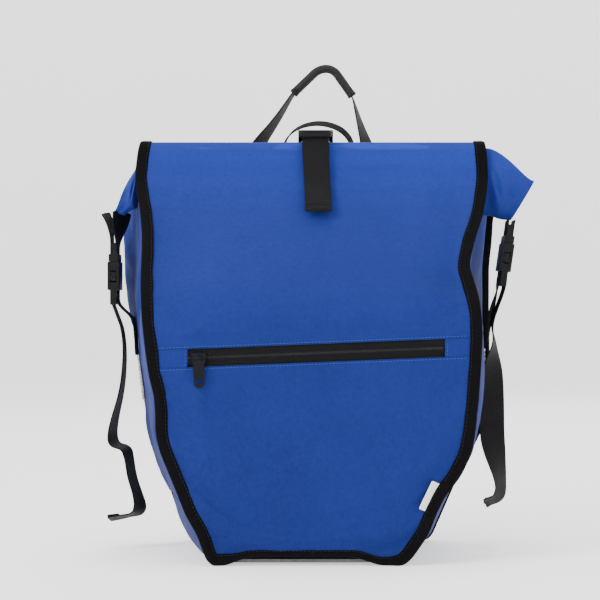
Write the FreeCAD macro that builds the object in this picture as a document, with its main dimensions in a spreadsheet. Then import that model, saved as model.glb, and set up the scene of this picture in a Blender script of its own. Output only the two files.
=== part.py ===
"""Roll-top pannier bag for a bicycle rack, as a parametric FreeCAD document.

Millimetres. +Z is up and the base rests on z = 0. The front face looks along -Y and the rack
side along +Y. Every driving size is a cell of the sheet called sizes.
"""

import FreeCAD
import Part
import math
import os

from FreeCAD import Matrix, Placement, Rotation, Vector

# Driving sizes: alias -> (value, what it is). All are millimetres or degrees.
SIZES = {
    "bag_depth": (160.0, "front panel to back panel, outside"),
    "top_fold": (391.0, "height of the rolled top"),
    "front_half_top": (167.5, "half width of the front panel at the rolled top"),
    "front_half_knee": (146.5, "half width of the front panel where it starts to taper"),
    "front_half_base": (90.0, "half width of the front panel's bottom corner"),
    "knee_height": (122.0, "height where the sides start to taper"),
    "back_half_top": (184.0, "half width of the back panel at the rolled top"),
    "back_half_knee": (170.0, "half width of the back panel at the knee"),
    "back_half_base": (116.0, "half width of the back panel's bottom corner"),
    "side_seam": (54.0, "height where the side panels meet the bottom panel"),
    "knee_radius": (150.0, "radius of the outline at the knee"),
    "base_radius": (22.0, "radius of the bottom corners"),
    "lean_height": (234.0, "height where the front panel starts to lean back"),
    "lean_radius": (60.0, "radius of that bend"),
    "cloth": (1.2, "thickness of the coated cloth"),
    "base_flat": (0.1, "how much of the base is worn flat"),
    "seam_gap": (0.3, "room between sewn layers"),
    "roll_front": (8.0, "front face of the flat roll, along Y"),
    "roll_thick": (28.0, "thickness of the flat roll"),
    "roll_tall": (47.0, "height of the flat roll"),
    "roof_height": (345.0, "height where the back panel turns towards the roll"),
    "binding_wide": (10.5, "visible width of the edge binding"),
    "binding_thick": (1.6, "thickness of the folded binding"),
    "web_wide": (25.0, "width of the webbing"),
    "web_thick": (1.4, "thickness of the webbing"),
    "board_thick": (3.0, "thickness of the stiffening boards"),
    "board_bottom": (8.0, "bottom edge of the back board"),
    "board_top": (328.0, "top edge of the back board"),
    "board_half_top": (158.0, "half width of the back board's top"),
    "board_half_base": (92.0, "half width of the back board's bottom"),
    "base_board_long": (158.0, "length of the base board"),
    "base_board_deep": (146.0, "depth of the base board"),
    "zip_long": (231.0, "length of the open zip band"),
    "zip_band": (15.5, "height of the zip band"),
    "zip_height": (191.2, "height of the zip's middle"),
    "zip_middle": (3.0, "X of the zip's middle"),
    "zip_tilt": (2.3, "rise of the zip to the right, degrees"),
    "slider_long": (13.0, "length of the zip slider"),
    "slider_tall": (9.0, "width of the zip slider"),
    "pull_long": (27.0, "length of the zip pull"),
    "pull_wide": (10.0, "width of the zip pull"),
    "pull_thick": (1.8, "thickness of the zip pull"),
    "buckle_wide": (34.0, "width of a side-release buckle"),
    "buckle_thick": (11.0, "thickness of a side-release buckle"),
    "socket_long": (27.0, "length of the buckle socket's housing"),
    "socket_wall": (2.5, "wall of the buckle socket"),
    "ladder_long": (14.0, "length of the socket's strap adjuster"),
    "grip_bar": (2.0, "radius of the adjuster's grip bar"),
    "end_bar": (1.6, "radius of the adjuster's end bar"),
    "plug_long": (7.0, "height of the plug's block"),
    "plug_bar": (2.0, "radius of the plug's strap bar"),
    "prong_offset": (11.3, "offset of a prong's root from the buckle's middle"),
    "knuckle": (2.0, "radius of a prong's root"),
    "knuckle_gap": (0.15, "running room around a prong's root"),
    "side_buckle_y": (22.0, "Y of the side buckles"),
    "left_buckle_x": (-189.5, "X of the left buckle"),
    "left_buckle_z": (275.5, "height of the left buckle's parting line"),
    "right_buckle_x": (187.3, "X of the right buckle"),
    "right_buckle_z": (293.0, "height of the right buckle's parting line"),
    "right_buckle_tilt": (8.3, "lean of the right buckle, degrees"),
    "top_buckle_x": (3.5, "X of the top buckle and its strap"),
    "top_bar_y": (45.5, "Y of the top buckle's grip bar"),
    "top_buckle_tilt": (30.0, "lean of the top buckle, degrees"),
    "top_bar_z": (396.0, "height of the top buckle's grip bar"),
    "rail_long": (272.0, "length of the hook rail"),
    "rail_tall": (28.0, "height of the hook rail"),
    "rail_thick": (4.8, "thickness of the rails"),
    "rail_height": (306.0, "height of the hook rail's middle"),
    "screw_spacing": (88.0, "spacing of the rail's middle screws"),
    "screw_spacing_wide": (256.0, "spacing of the rail's end screws"),
    "screw_spacing_low": (112.0, "spacing of the lower rail's screws"),
    "screw_radius": (2.5, "radius of a rail screw's shank"),
    "screw_head": (4.6, "radius of a rail screw's head"),
    "hook_x": (105.0, "distance of each hook from the middle"),
    "hook_wide": (30.0, "width of a hook"),
    "tube_y": (111.4, "Y of the rack tube that the hooks hold"),
    "tube_z": (314.0, "height of the rack tube that the hooks hold"),
    "tube_radius": (5.1, "radius of the insert's seat, for a 10 rack tube"),
    "hook_bore": (8.2, "inner radius of a hook"),
    "hook_wall": (4.6, "wall of a hook"),
    "latch_y": (99.2, "Y of the latch pivot"),
    "latch_z": (301.0, "height of the latch pivot"),
    "latch_arm": (8.0, "latch pivot to strap bar"),
    "latch_swing": (75.0, "how far a latch opens, degrees"),
    "latch_pin": (1.5, "radius of the latch pin"),
    "lever_out": (32.5, "hook middle to strap bar middle, along X"),
    "fold_height": (345.0, "height where the handle folds back"),
    "fold_gap": (2.6, "room on each side of that fold"),
    "grip_radius": (4.5, "outer radius of the handle's grip"),
    "grip_bore": (3.0, "inner radius of the handle's grip"),
    "anchor_rail_long": (130.0, "length of the lower rail"),
    "anchor_rail_tall": (20.0, "height of the lower rail"),
    "anchor_height": (110.0, "height of the lower rail's middle"),
    "anchor_block": (30.0, "length of the sliding block on the lower rail"),
    "anchor_reach": (30.0, "length of the lower hook's finger"),
}

OUT = "parts"
FAR = 300  # beyond the bag on every side
doc = FreeCAD.newDocument("pannier_bag")
sheet = doc.addObject("Spreadsheet::Sheet", "sizes")
nodes = {}


def fill_sheet():
    """One row of the sheet for each driving size: its name, its value and what it is."""
    for row, (alias, (value, words)) in enumerate(SIZES.items(), 1):
        sheet.set(f"A{row}", alias)
        sheet.set(f"B{row}", str(value))
        sheet.set(f"C{row}", words)
        sheet.setAlias(f"B{row}", alias)
    doc.recompute()


def size(alias):
    return float(sheet.get(alias))


def node(name, obj):
    """Makes obj the sub-part that is written to parts/NAME.step."""
    obj.Label = name
    nodes[name] = obj
    return obj


def feature(name, shape, placement=None):
    """A sub-part whose shape is computed here."""
    obj = doc.addObject("Part::Feature", name)
    obj.Shape = shape
    if placement is not None:
        obj.Placement = placement
    return node(name, obj)


# ---- primitives bound to the sheet ----


def bind(obj, **expressions):
    for key, text in expressions.items():
        obj.setExpression(key, text)
    return obj


def place(obj, at):
    """Binds an object's position to three expressions."""
    for axis, text in zip("xyz", at):
        obj.setExpression(f"Placement.Base.{axis}", text)
    return obj


def block(name, spans, at):
    """A box of the given X, Y and Z sizes, centred on X and Y and standing on Z of at."""
    obj = bind(doc.addObject("Part::Box", name), Length=spans[0], Width=spans[1], Height=spans[2])
    corner = (f"{at[0]} - ({spans[0]}) / 2", f"{at[1]} - ({spans[1]}) / 2", at[2])
    return place(obj, corner)


def rod(name, radius, length, at, direction):
    """A cylinder whose axis runs along direction, centred on at."""
    obj = bind(doc.addObject("Part::Cylinder", name), Radius=radius, Height=length)
    turn = {"X": Rotation(Vector(0, 1, 0), 90), "Y": Rotation(Vector(1, 0, 0), -90), "Z": Rotation()}
    obj.Placement = Placement(Vector(), turn[direction])
    start = [f"{text} - ({length}) / 2" if axis == direction else text for axis, text in zip("XYZ", at)]
    return place(obj, start)


def cut(name, base, tool):
    obj = doc.addObject("Part::Cut", name)
    obj.Base, obj.Tool = base, tool
    return obj


def fuse(name, *pieces):
    obj = doc.addObject("Part::MultiFuse", name)
    obj.Shapes = list(pieces)
    return obj


# ---- flat outlines made of straight runs and tangent arcs ----


def shifted(points, radii, by):
    """The path moved by that much to its left: its corner points and their new radii."""
    lines = []
    for (x0, y0), (x1, y1) in zip(points, points[1:]):
        long = math.hypot(x1 - x0, y1 - y0)
        normal = (-(y1 - y0) / long, (x1 - x0) / long)
        lines.append(((x0 + normal[0] * by, y0 + normal[1] * by), ((x1 - x0) / long, (y1 - y0) / long)))
    moved, new_radii = [lines[0][0]], []
    for (p, d), (q, e), radius in zip(lines, lines[1:], radii):
        turn = d[0] * e[1] - d[1] * e[0]
        along = ((q[0] - p[0]) * e[1] - (q[1] - p[1]) * e[0]) / turn
        moved.append((p[0] + d[0] * along, p[1] + d[1] * along))
        new_radii.append(radius - by if turn > 0 else radius + by)
    (q, e), end = lines[-1], points[-1]
    along = (end[0] - q[0]) * e[0] + (end[1] - q[1]) * e[1]
    moved.append((q[0] + e[0] * along, q[1] + e[1] * along))
    return moved, new_radii


def run_edges(points, radii, to3d):
    """Edges of straight runs joined by tangent arcs of the given radii."""
    edges, here = [], points[0]
    for before, corner, after, radius in zip(points, points[1:], points[2:], radii):
        a = Vector(before[0] - corner[0], before[1] - corner[1], 0).normalize()
        b = Vector(after[0] - corner[0], after[1] - corner[1], 0).normalize()
        half = a.getAngle(b) / 2
        back = radius / math.tan(half)
        start = (corner[0] + a.x * back, corner[1] + a.y * back)
        finish = (corner[0] + b.x * back, corner[1] + b.y * back)
        bisector = (a + b).normalize()
        reach = radius / math.sin(half) - radius
        middle = (corner[0] + bisector.x * reach, corner[1] + bisector.y * reach)
        if math.dist(here, start) > 1e-6:
            edges.append(Part.LineSegment(to3d(here), to3d(start)).toShape())
        edges.append(Part.Arc(to3d(start), to3d(middle), to3d(finish)).toShape())
        here = finish
    edges.append(Part.LineSegment(to3d(here), to3d(points[-1])).toShape())
    return edges


def thick_wire(points, radii, low, high, to3d):
    """A closed wire round the strip between two shifts of a path."""
    one, one_radii = shifted(points, radii, low)
    two, two_radii = shifted(points, radii, high)
    edges = run_edges(one, one_radii, to3d)
    edges.append(Part.LineSegment(to3d(one[-1]), to3d(two[-1])).toShape())
    edges += run_edges(two[::-1], two_radii[::-1], to3d)
    edges.append(Part.LineSegment(to3d(two[0]), to3d(one[0])).toShape())
    return Part.Wire(Part.sortEdges(edges)[0])


def in_xz(y):
    return lambda p: Vector(p[0], y, p[1])


def in_yz(x):
    return lambda p: Vector(x, p[0], p[1])


def in_xy(z):
    return lambda p: Vector(p[0], p[1], z)


def strip_xz(points, radii, low, high, y_from, y_to):
    """A bent strip whose outline lies in the XZ plane, from y_from to y_to."""
    wire = thick_wire(points, radii, low, high, in_xz(y_from))
    return Part.Face(wire).extrude(Vector(0, y_to - y_from, 0))


def strip_yz(points, radii, low, high, x_from, x_to):
    """A bent strip whose outline lies in the YZ plane, from x_from to x_to."""
    wire = thick_wire(points, radii, low, high, in_yz(x_from))
    return Part.Face(wire).extrude(Vector(x_to - x_from, 0, 0))


def rounded_prism(points, radii, to3d, along):
    """A prism over a closed outline whose corners have the given radii. The first is a sharp start."""
    edges = run_edges(points + [points[0]], radii, to3d)
    return Part.Face(Part.Wire(edges)).extrude(along)


def bar_x(y, z, radius, x_from, x_to):
    """A round bar along X."""
    return Part.makeCylinder(radius, x_to - x_from, Vector(x_from, y, z), Vector(1, 0, 0))


def slab(x, y, z):
    """A box from pairs of limits."""
    return Part.makeBox(x[1] - x[0], y[1] - y[0], z[1] - z[0], Vector(x[0], y[0], z[0]))


# ---- the bag's outlines ----


def outline(which, bottom=0.0):
    """Half widths of the front or back panel as a path up the left, along the base and up the right."""
    top, knee, base = (size(f"{which}_half_{part}") for part in ("top", "knee", "base"))
    high, knee_z = size("top_fold") + 4, size("knee_height")
    points = [(-top, high), (-knee, knee_z), (-base, bottom), (base, bottom), (knee, knee_z), (top, high)]
    radii = [size("knee_radius"), size("base_radius"), size("base_radius"), size("knee_radius")]
    return points, radii


def front_path():
    """The front panel seen from the side: up, leaning back, and over the flat roll."""
    y_front = -size("bag_depth") / 2 - size("cloth") / 2
    fold = size("top_fold") - size("cloth") / 2
    face, back = size("roll_front"), size("roll_front") + size("roll_thick")
    low = size("top_fold") - size("roll_tall")
    points = [(y_front, 1.2), (y_front, size("lean_height")), (face, low + 12)]
    points += [(face, fold), (back, fold), (back, low)]
    return points, [size("lean_radius"), 25.0, 10.0, 10.0]


def back_path():
    """The back panel seen from the side: up, then forward to the foot of the roll."""
    y_back = size("bag_depth") / 2 + size("cloth") / 2
    foot = size("roll_front") + size("roll_thick") + 3.0
    return [(y_back, 1.2), (y_back, size("roof_height")), (foot, size("roof_height") + 11)], [18.0]


def closed_outline(which, inset, y, bottom=0.0):
    """The panel outline moved in by inset and closed across the top, as a wire at that Y."""
    points, radii = shifted(*outline(which, bottom), inset)
    edges = run_edges(points, radii, in_xz(y))
    edges.append(Part.LineSegment(in_xz(y)(points[-1]), in_xz(y)(points[0])).toShape())
    return Part.Wire(edges)


def outline_prism(which, inset, y_from, y_to):
    """Everything inside the panel outline moved in by inset, between two Y planes."""
    wire = closed_outline(which, inset, y_from, 2.2)
    return Part.Face(wire).extrude(Vector(0, y_to - y_from, 0))


def side_wall(low, high):
    """The wall that joins the front outline to the back outline, between two shifts of the outline."""
    half = size("bag_depth") / 2 + 2.0
    front = thick_wire(*outline("front", -size("base_flat")), low, high, in_xz(-half))
    back = thick_wire(*outline("back", -size("base_flat")), low, high, in_xz(half))
    return Part.makeLoft([front, back], True, True)


def side_profile(room):
    """The prism of the bag's side view, inside the front panel and the back panel by room."""
    front, front_radii = shifted(*front_path(), -room)
    back, back_radii = shifted(*back_path(), room)
    ceiling = size("top_fold") - size("roll_tall") - 1.6
    lean, foot = front[1], front[2]
    share = (ceiling - lean[1]) / (foot[1] - lean[1])
    corner = (lean[0] + (foot[0] - lean[0]) * share, ceiling)
    back_y, chamfer = back[1][0], 8.0
    points = [(front[0][0], 0.0), lean, corner]
    points += [(back_y - chamfer, ceiling), (back_y, ceiling - chamfer), (back[0][0], 0.0)]
    radii = [front_radii[0], 4.0, 4.0, 4.0]
    edges = run_edges(points, radii, in_yz(-FAR))
    edges.append(Part.LineSegment(in_yz(-FAR)(points[-1]), in_yz(-FAR)(points[0])).toShape())
    return Part.Face(Part.Wire(edges)).extrude(Vector(2 * FAR, 0, 0))


def zip_matrix():
    """Carries the zip's own frame, X along the zip and Z across it, onto the front panel."""
    turn = Rotation(Vector(0, 1, 0), -size("zip_tilt"))
    return Placement(Vector(size("zip_middle"), 0, size("zip_height")), turn)


def zip_slab(x, y, z):
    """A box in the zip's own frame."""
    shape = slab(x, y, z)
    shape.Placement = zip_matrix().multiply(shape.Placement)
    return shape


# ---- cloth ----


def build_front():
    """Front panel above and below the zip, the blue tabs at the zip's ends, and its binding."""
    half = size("cloth") / 2
    cloth = strip_yz(*front_path(), -half, half, -200, 200)
    whole = cloth.common(outline_prism("front", 0, -100, 60))
    gap, reach = size("zip_band") / 2, size("zip_long") / 2
    through, face = (-110, 70), (-110, -70)
    feature("front_panel_upper", whole.common(zip_slab((-FAR, FAR), through, (gap + 0.1, FAR))))
    feature("front_panel_lower", whole.common(zip_slab((-FAR, FAR), through, (-FAR, -gap - 0.1))))
    spans = ((-FAR, -reach - 0.2), (reach + 0.2, FAR))
    ends = [whole.common(zip_slab(x, face, (-gap, gap))) for x in spans]
    feature("zip_end_tabs", Part.makeCompound(ends))
    low = half + 0.1
    tape = strip_yz(*front_path(), low, low + size("binding_thick"), -200, 200)
    edge = strip_xz(*outline("front", 2.2), -2.0, size("binding_wide"), -100, 60)
    feature("binding_front", tape.common(edge))


def build_back():
    """Back panel with its screw holes, and its binding."""
    half = size("cloth") / 2
    cloth = strip_yz(*back_path(), -half, half, -200, 200)
    panel = cloth.common(outline_prism("back", 0, 0, 100))
    for x, z in screw_places():
        hole = Part.makeCylinder(size("screw_radius") + 0.3, 20, Vector(x, 70, z), Vector(0, 1, 0))
        panel = panel.cut(hole)
    feature("back_panel", panel)
    low = half + 0.1
    path, radii = back_path()
    tape = strip_yz(path, radii, -low - size("binding_thick"), -low, -200, 200)
    edge = strip_xz(*outline("back", 2.2), -2.0, size("binding_wide"), 0, 100)
    feature("binding_back", tape.common(edge))


def build_sides():
    """Left and right side panels and the bottom panel, cut from one wall at the side seams."""
    wall = side_wall(0, size("cloth")).common(side_profile(size("cloth") / 2 + size("seam_gap")))
    seam = size("side_seam")
    feature("gusset_left", wall.common(slab((-FAR, 0), (-FAR, FAR), (seam + 0.15, 500))))
    feature("gusset_right", wall.common(slab((0, FAR), (-FAR, FAR), (seam + 0.15, 500))))
    feature("bottom_panel", wall.common(slab((-FAR, FAR), (-FAR, FAR), (-10, seam))))
    patch = side_wall(-1.1, -0.4)
    strips = [patch.common(slab(x, (42, 74), (141, 191))) for x in ((-FAR, 0), (0, FAR))]
    feature("reflectors", Part.makeCompound(strips))


def build_roll():
    """The flat roll, the strip that stiffens it, and its two folded ends."""
    y0, y1 = size("roll_front") + 1.0, size("roll_front") + size("roll_thick") - 1.0
    z0, z1 = size("top_fold") - size("roll_tall") + 1, size("top_fold") - size("cloth") - 0.5
    long = size("front_half_top") - 1.5
    mid = (y0 + y1) / 2
    points = [(mid, z0), (y1, z0), (y1, z1), (y0, z1), (y0, z0)]
    roll = rounded_prism(points, [9.0] * 4, in_yz(-long), Vector(2 * long, 0, 0))
    room = slab((-long + 12, long - 12), (mid - 1.6, mid + 1.6), (z0 + 10, z1 - 9))
    feature("roll_top", roll.cut(room))
    feature("roll_stiffener", slab((-long + 14, long - 14), (mid - 1.2, mid + 1.2), (z0 + 11, z1 - 10)))
    reach = size("bag_depth") / 2 + 2.0
    ends = [closed_outline("front", -0.5, -reach), closed_outline("back", -0.5, reach)]
    bag = Part.makeLoft(ends, True, True)
    bag = bag.common(slab((-300, 300), (-100, 100), (200, 349)))
    side = size("front_half_top") + 3.4
    left = [(-side, 350), (-side, 373), (-179, 361), (-187, 336)]
    left += [(-189.5, 322), (-176.5, 320.5), (-174.5, 334)]
    ear = rounded_prism(left, [2.5, 12.0, 20.0, 4.0, 4.0, 8.0], in_xz(3), Vector(0, 33, 0))
    feature("roll_end_left", ear.cut(bag))
    right = [(side, 340), (side, 321), (190.5, 315.5), (213, 353), (192, 376), (side, 384)]
    ear = rounded_prism(right, [4.0, 3.0, 3.0, 16.0, 4.0], in_xz(10), Vector(0, 24, 0))
    feature("roll_end_right", ear.cut(bag))


def build_boards():
    """Stiffening boards: one inside the back with its screw holes, one in the base."""
    body = doc.addObject("PartDesign::Body", "backboard_body")
    plane = next(f for f in body.Origin.OriginFeatures if f.Role == "XZ_Plane")
    sketch = body.newObject("Sketcher::SketchObject", "backboard_outline")
    sketch.AttachmentSupport, sketch.MapMode = (plane, [""]), "FlatFace"
    top, base = size("board_half_top"), size("board_half_base")
    low, high = size("board_bottom"), size("board_top")
    knee = size("knee_height") + 8
    corners = [(-base, low), (base, low), (top - 9, knee), (top, high), (-top, high), (9 - top, knee)]
    for a, b in zip(corners, corners[1:] + corners[:1]):
        sketch.addGeometry(Part.LineSegment(Vector(*a, 0), Vector(*b, 0)))
    pad = body.newObject("PartDesign::Pad", "backboard_pad")
    pad.Profile = sketch
    pad.setExpression("Length", "sizes.board_thick")
    holes = body.newObject("Sketcher::SketchObject", "backboard_screws")
    holes.AttachmentSupport, holes.MapMode = (plane, [""]), "FlatFace"
    for x, z in screw_places():
        holes.addGeometry(Part.Circle(Vector(x, z, 0), Vector(0, 0, 1), size("screw_radius") + 0.3))
    doc.recompute()
    pocket = body.newObject("PartDesign::Pocket", "backboard_holes")
    pocket.Profile = holes
    pocket.Type = "ThroughAll"
    pocket.Midplane = True
    body.Tip = pocket
    body.setExpression("Placement.Base.y", "sizes.bag_depth / 2 - 0.5")
    node("backboard", body)
    board = bind(
        doc.addObject("Part::Box", "base_board_blank"),
        Length="sizes.base_board_long",
        Width="sizes.base_board_deep",
        Height="sizes.board_thick",
    )
    place(board, ("-sizes.base_board_long / 2", "-sizes.base_board_deep / 2", "sizes.cloth + 0.4"))
    doc.recompute()
    rounded = doc.addObject("Part::Fillet", "base_board_rounded")
    rounded.Base = board
    rounded.Edges = [(i, 12.0, 12.0) for i, e in enumerate(board.Shape.Edges, 1) if upright(e)]
    node("base_board", rounded)


def upright(edge):
    a, b = edge.Vertexes[0].Point, edge.Vertexes[-1].Point
    return abs(a.x - b.x) + abs(a.y - b.y) < 1e-6


def build_pocket():
    """The front pocket's lining, the zip's two tapes and its coil, behind the front panel."""
    face = -size("bag_depth") / 2
    long = size("zip_long") / 2 + 8
    pieces = [zip_slab((-long, long), (face + 0.2, face + 0.9), z) for z in ((0.15, 11.0), (-11.0, -0.15))]
    feature("zip_tapes", Part.makeCompound(pieces))
    feature("zip_coil", zip_slab((3 - long, long - 3), (face + 1.1, face + 2.9), (-3.0, 3.0)))
    lining = slab((-136, 136), (face + 4, face + 4.6), (14, 190))
    feature("pocket_lining", lining.common(outline_prism("front", 12, -100, 60)))


def build_label():
    """The small blank label caught in the seam at the lower right."""
    face = -size("bag_depth") / 2 - size("cloth")
    tag = slab((-8, 8), (face - 0.9, face - 0.3), (-14, 14))
    tag.Placement = Placement(Vector(103.5, 0, 66), Rotation(Vector(0, 1, 0), 24))
    clear = strip_xz(*outline("front", 2.2), -60, size("binding_wide") + 0.4, -100, 60)
    feature("label_tag", tag.cut(clear))


# ---- zip slider ----


def build_slider():
    """Slider with its bridge, and the pull whose eye turns on the bridge's bar, in the zip's own frame."""
    face = -size("bag_depth") / 2
    left = -size("zip_long") / 2 + 3.0
    mid = left + size("slider_long") / 2
    tall, wide, thick, drop = (size(a) for a in ("slider_tall", "pull_wide", "pull_thick", "pull_long"))
    front = face - 3.4
    body = slab((left, left + size("slider_long")), (front, face - 0.1), (-tall / 2, tall / 2))
    body = body.makeFillet(1.0, [e for e in body.Edges if e.BoundBox.YMax < face - 3])
    bar_y, bar, eye = front - 2.3, 0.8, 1.9
    bridge = bar_x(bar_y, 0, bar, mid - 3.9, mid + 3.9)
    for x in (mid - 3.9, mid + 2.6):
        bridge = bridge.fuse(slab((x, x + 1.3), (bar_y, front + 0.5), (-bar, bar)))
    feature("zip_slider", body.fuse(bridge), zip_matrix())
    plate = slab((mid - wide / 2, mid + wide / 2), (bar_y - thick / 2, bar_y + thick / 2), (-drop, -2.4))
    tail = [e for e in plate.Edges if e.Length < thick + 0.1 and e.BoundBox.ZMax < -9]
    plate = plate.makeFillet(4.6, tail)
    ring = slab((mid - 2.9, mid + 2.9), (bar_y - 3, bar_y + 3), (3.2 - drop, 8.2 - drop))
    ring = ring.makeFillet(2.3, [e for e in ring.Edges if abs(e.Length - 6) < 0.1])
    neck = slab((mid - 2.3, mid + 2.3), (bar_y - thick / 2, bar_y + thick / 2), (-3.5, -1.0))
    barrel = bar_x(bar_y, 0, eye, mid - 2.3, mid + 2.3)
    pull = plate.cut(ring).fuse(neck).fuse(barrel).cut(bar_x(bar_y, 0, bar + 0.08, mid - 5, mid + 5))
    feature("zip_pull", pull.removeSplitter(), zip_matrix())


# ---- side-release buckles ----


def buckle_frame(which):
    """Where a buckle stands: its own Z runs from the adjuster to the plug, its own Y faces outwards."""
    if which == "left":
        turn = Rotation(Vector(0, 1, 0), Vector(-1, 0, 0), Vector(0, 0, 1), "ZXY")
        at = Vector(size("left_buckle_x"), size("side_buckle_y"), size("left_buckle_z"))
    elif which == "right":
        upright_turn = Rotation(Vector(0, -1, 0), Vector(1, 0, 0), Vector(0, 0, 1), "ZXY")
        turn = Rotation(Vector(0, 1, 0), size("right_buckle_tilt")).multiply(upright_turn)
        at = Vector(size("right_buckle_x"), size("side_buckle_y"), size("right_buckle_z"))
    else:
        upside_down = Rotation(Vector(-1, 0, 0), Vector(0, 1, 0), Vector(0, 0, -1), "ZXY")
        turn = Rotation(Vector(1, 0, 0), size("top_buckle_tilt")).multiply(upside_down)
        bar = Vector(size("top_buckle_x"), size("top_bar_y"), size("top_bar_z"))
        at = bar - turn.multVec(Vector(0, 0, -bar_drop()))
    return Placement(at, turn)


def bar_drop():
    """Parting line to grip bar."""
    return size("socket_long") + 5.5


def along_buckle(which, distance):
    """The point that far from the parting line along a buckle's own Z."""
    return buckle_frame(which).multVec(Vector(0, 0, distance))


def build_socket(which):
    """Socket housing with its two windows, and the strap adjuster below it."""
    tag = f"{which}_socket_"
    long, wide, thick = "sizes.socket_long", "sizes.buckle_wide", "sizes.buckle_thick"
    housing = block(tag + "housing", (wide, thick, long), ("0", "0", f"-{long}"))
    room = f"{wide} - 2 * sizes.socket_wall"
    depth = f"{thick} - 2 * sizes.socket_wall"
    mouth = block(tag + "mouth", (room, depth, f"{long} - 2"), ("0", "0", f"3 - {long}"))
    window = block(tag + "window", (f"{wide} + 4", depth, "11"), ("0", "0", "-19.5"))
    hollow = cut(tag + "hollow", housing, fuse(tag + "space", mouth, window))
    arm_x = f"({wide} - 3.5) / 2"
    arm_z = f"-{long} - sizes.ladder_long"
    arms = [
        block(tag + f"arm_{side}", ("3.5", "6", "sizes.ladder_long + 1"), (sign + arm_x, "0", arm_z))
        for side, sign in (("a", ""), ("b", "-"))
    ]
    grip = rod(tag + "grip_bar", "sizes.grip_bar", f"{wide} - 2", ("0", "0", f"-{long} - 5.5"), "X")
    end = rod(tag + "end_bar", "sizes.end_bar", f"{wide} - 2", ("0", "0", f"-{long} - 12"), "X")
    whole = fuse(tag + "whole", hollow, arms[0], arms[1], grip, end)
    whole.Placement = buckle_frame(which)
    node(f"{which}_buckle_socket", whole)


def build_plug(which):
    """Plug block with its strap bar and centre guide, and the seats of its two prongs."""
    tag = f"{which}_plug_"
    core = block(tag + "core", ("32", "9", "sizes.plug_long"), ("0", "0", "0.3"))
    guide = block(tag + "guide", ("5", "5", "20.5"), ("0", "0", "-20"))
    arms = [
        block(tag + f"arm_{side}", ("3", "6", "11"), (x, "0", "sizes.plug_long"))
        for side, x in (("a", "14.5"), ("b", "-14.5"))
    ]
    bar = rod(tag + "bar", "sizes.plug_bar", "29", ("0", "0", "15.5"), "X")
    solid = fuse(tag + "solid", core, guide, arms[0], arms[1], bar)
    seats = [
        rod(tag + f"seat_{side}", "sizes.knuckle + sizes.knuckle_gap", "12", (x, "0", "0.8"), "Y")
        for side, x in (("a", "sizes.prong_offset"), ("b", "-sizes.prong_offset"))
    ]
    plug = cut(tag + "whole", solid, fuse(tag + "seats", *seats))
    plug.Placement = buckle_frame(which)
    node(f"{which}_buckle_plug", plug)


def build_prong(which, name, side):
    """One sprung prong: a round root, an arm and the finger pad that fills the window."""
    x, wide = size("prong_offset"), 5.2
    root = Part.makeCylinder(size("knuckle"), wide, Vector(x, -wide / 2, 0.8), Vector(0, 1, 0))
    tip = [(9.7, -17.5), (11.4, -20.2), (13.6, -19.6)]
    pad = [(16.9, -18.4), (16.9, -9.6), (13.2, -8.2)]
    arm = [(x, 0.4), (9.7, 0.4)] + tip + pad + [(12.9, 0.4)]
    radii = [0.2, 1.5, 1.2, 1.0, 1.0, 1.0, 1.5, 0.3]
    body = rounded_prism(arm, radii, in_xz(-wide / 2), Vector(0, wide, 0))
    shape = root.fuse(body).removeSplitter()
    if side < 0:
        shape = shape.mirror(Vector(), Vector(1, 0, 0))
    feature(name, shape, buckle_frame(which))


# The two prongs of each buckle, by the side of the buckle's own X that they are on.
BUCKLE_SIDES = {
    "left": {1: "rear", -1: "front"},
    "right": {1: "front", -1: "rear"},
    "top": {1: "left", -1: "right"},
}


def build_buckles():
    for which, sides in BUCKLE_SIDES.items():
        build_socket(which)
        build_plug(which)
        for side, word in sides.items():
            build_prong(which, f"{which}_buckle_prong_{word}", side)


# ---- webbing ----


def web_xz(points, radii, y_mid):
    half, wide = size("web_thick") / 2, size("web_wide") / 2
    return strip_xz(points, radii, -half, half, y_mid - wide, y_mid + wide)


def web_yz(points, radii, x_mid):
    half, wide = size("web_thick") / 2, size("web_wide") / 2
    return strip_yz(points, radii, -half, half, x_mid - wide, x_mid + wide)


def wrap_radius(bar):
    """Centre line of webbing that goes round a bar."""
    return bar + 0.15 + size("web_thick") / 2


def side_at(z):
    """Outer half width of the side panels above the knee, at the side buckles' Y."""
    reach = size("bag_depth") / 2 + 2.0
    share = (size("side_buckle_y") + reach) / (2 * reach)
    knee_z, high = size("knee_height"), size("top_fold") + 4
    halves = []
    for which in ("front", "back"):
        knee, top = size(f"{which}_half_knee"), size(f"{which}_half_top")
        halves.append(knee + (top - knee) * (z - knee_z) / (high - knee_z))
    return halves[0] * (1 - share) + halves[1] * share


def wrap_marks(which, distance, turn, near, far):
    """Corners of a path round a buckle's bar: near is the length before the bar, far after it."""
    frame = buckle_frame(which)
    flip = 1 if distance < 0 else -1
    local = [(-turn, near), (-turn, turn + 0.001), (turn, turn + 0.001), (turn, far)]
    points = [frame.multVec(Vector(0, y, distance + z * flip)) for y, z in local]
    return [(p.x, p.z) for p in points]


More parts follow.
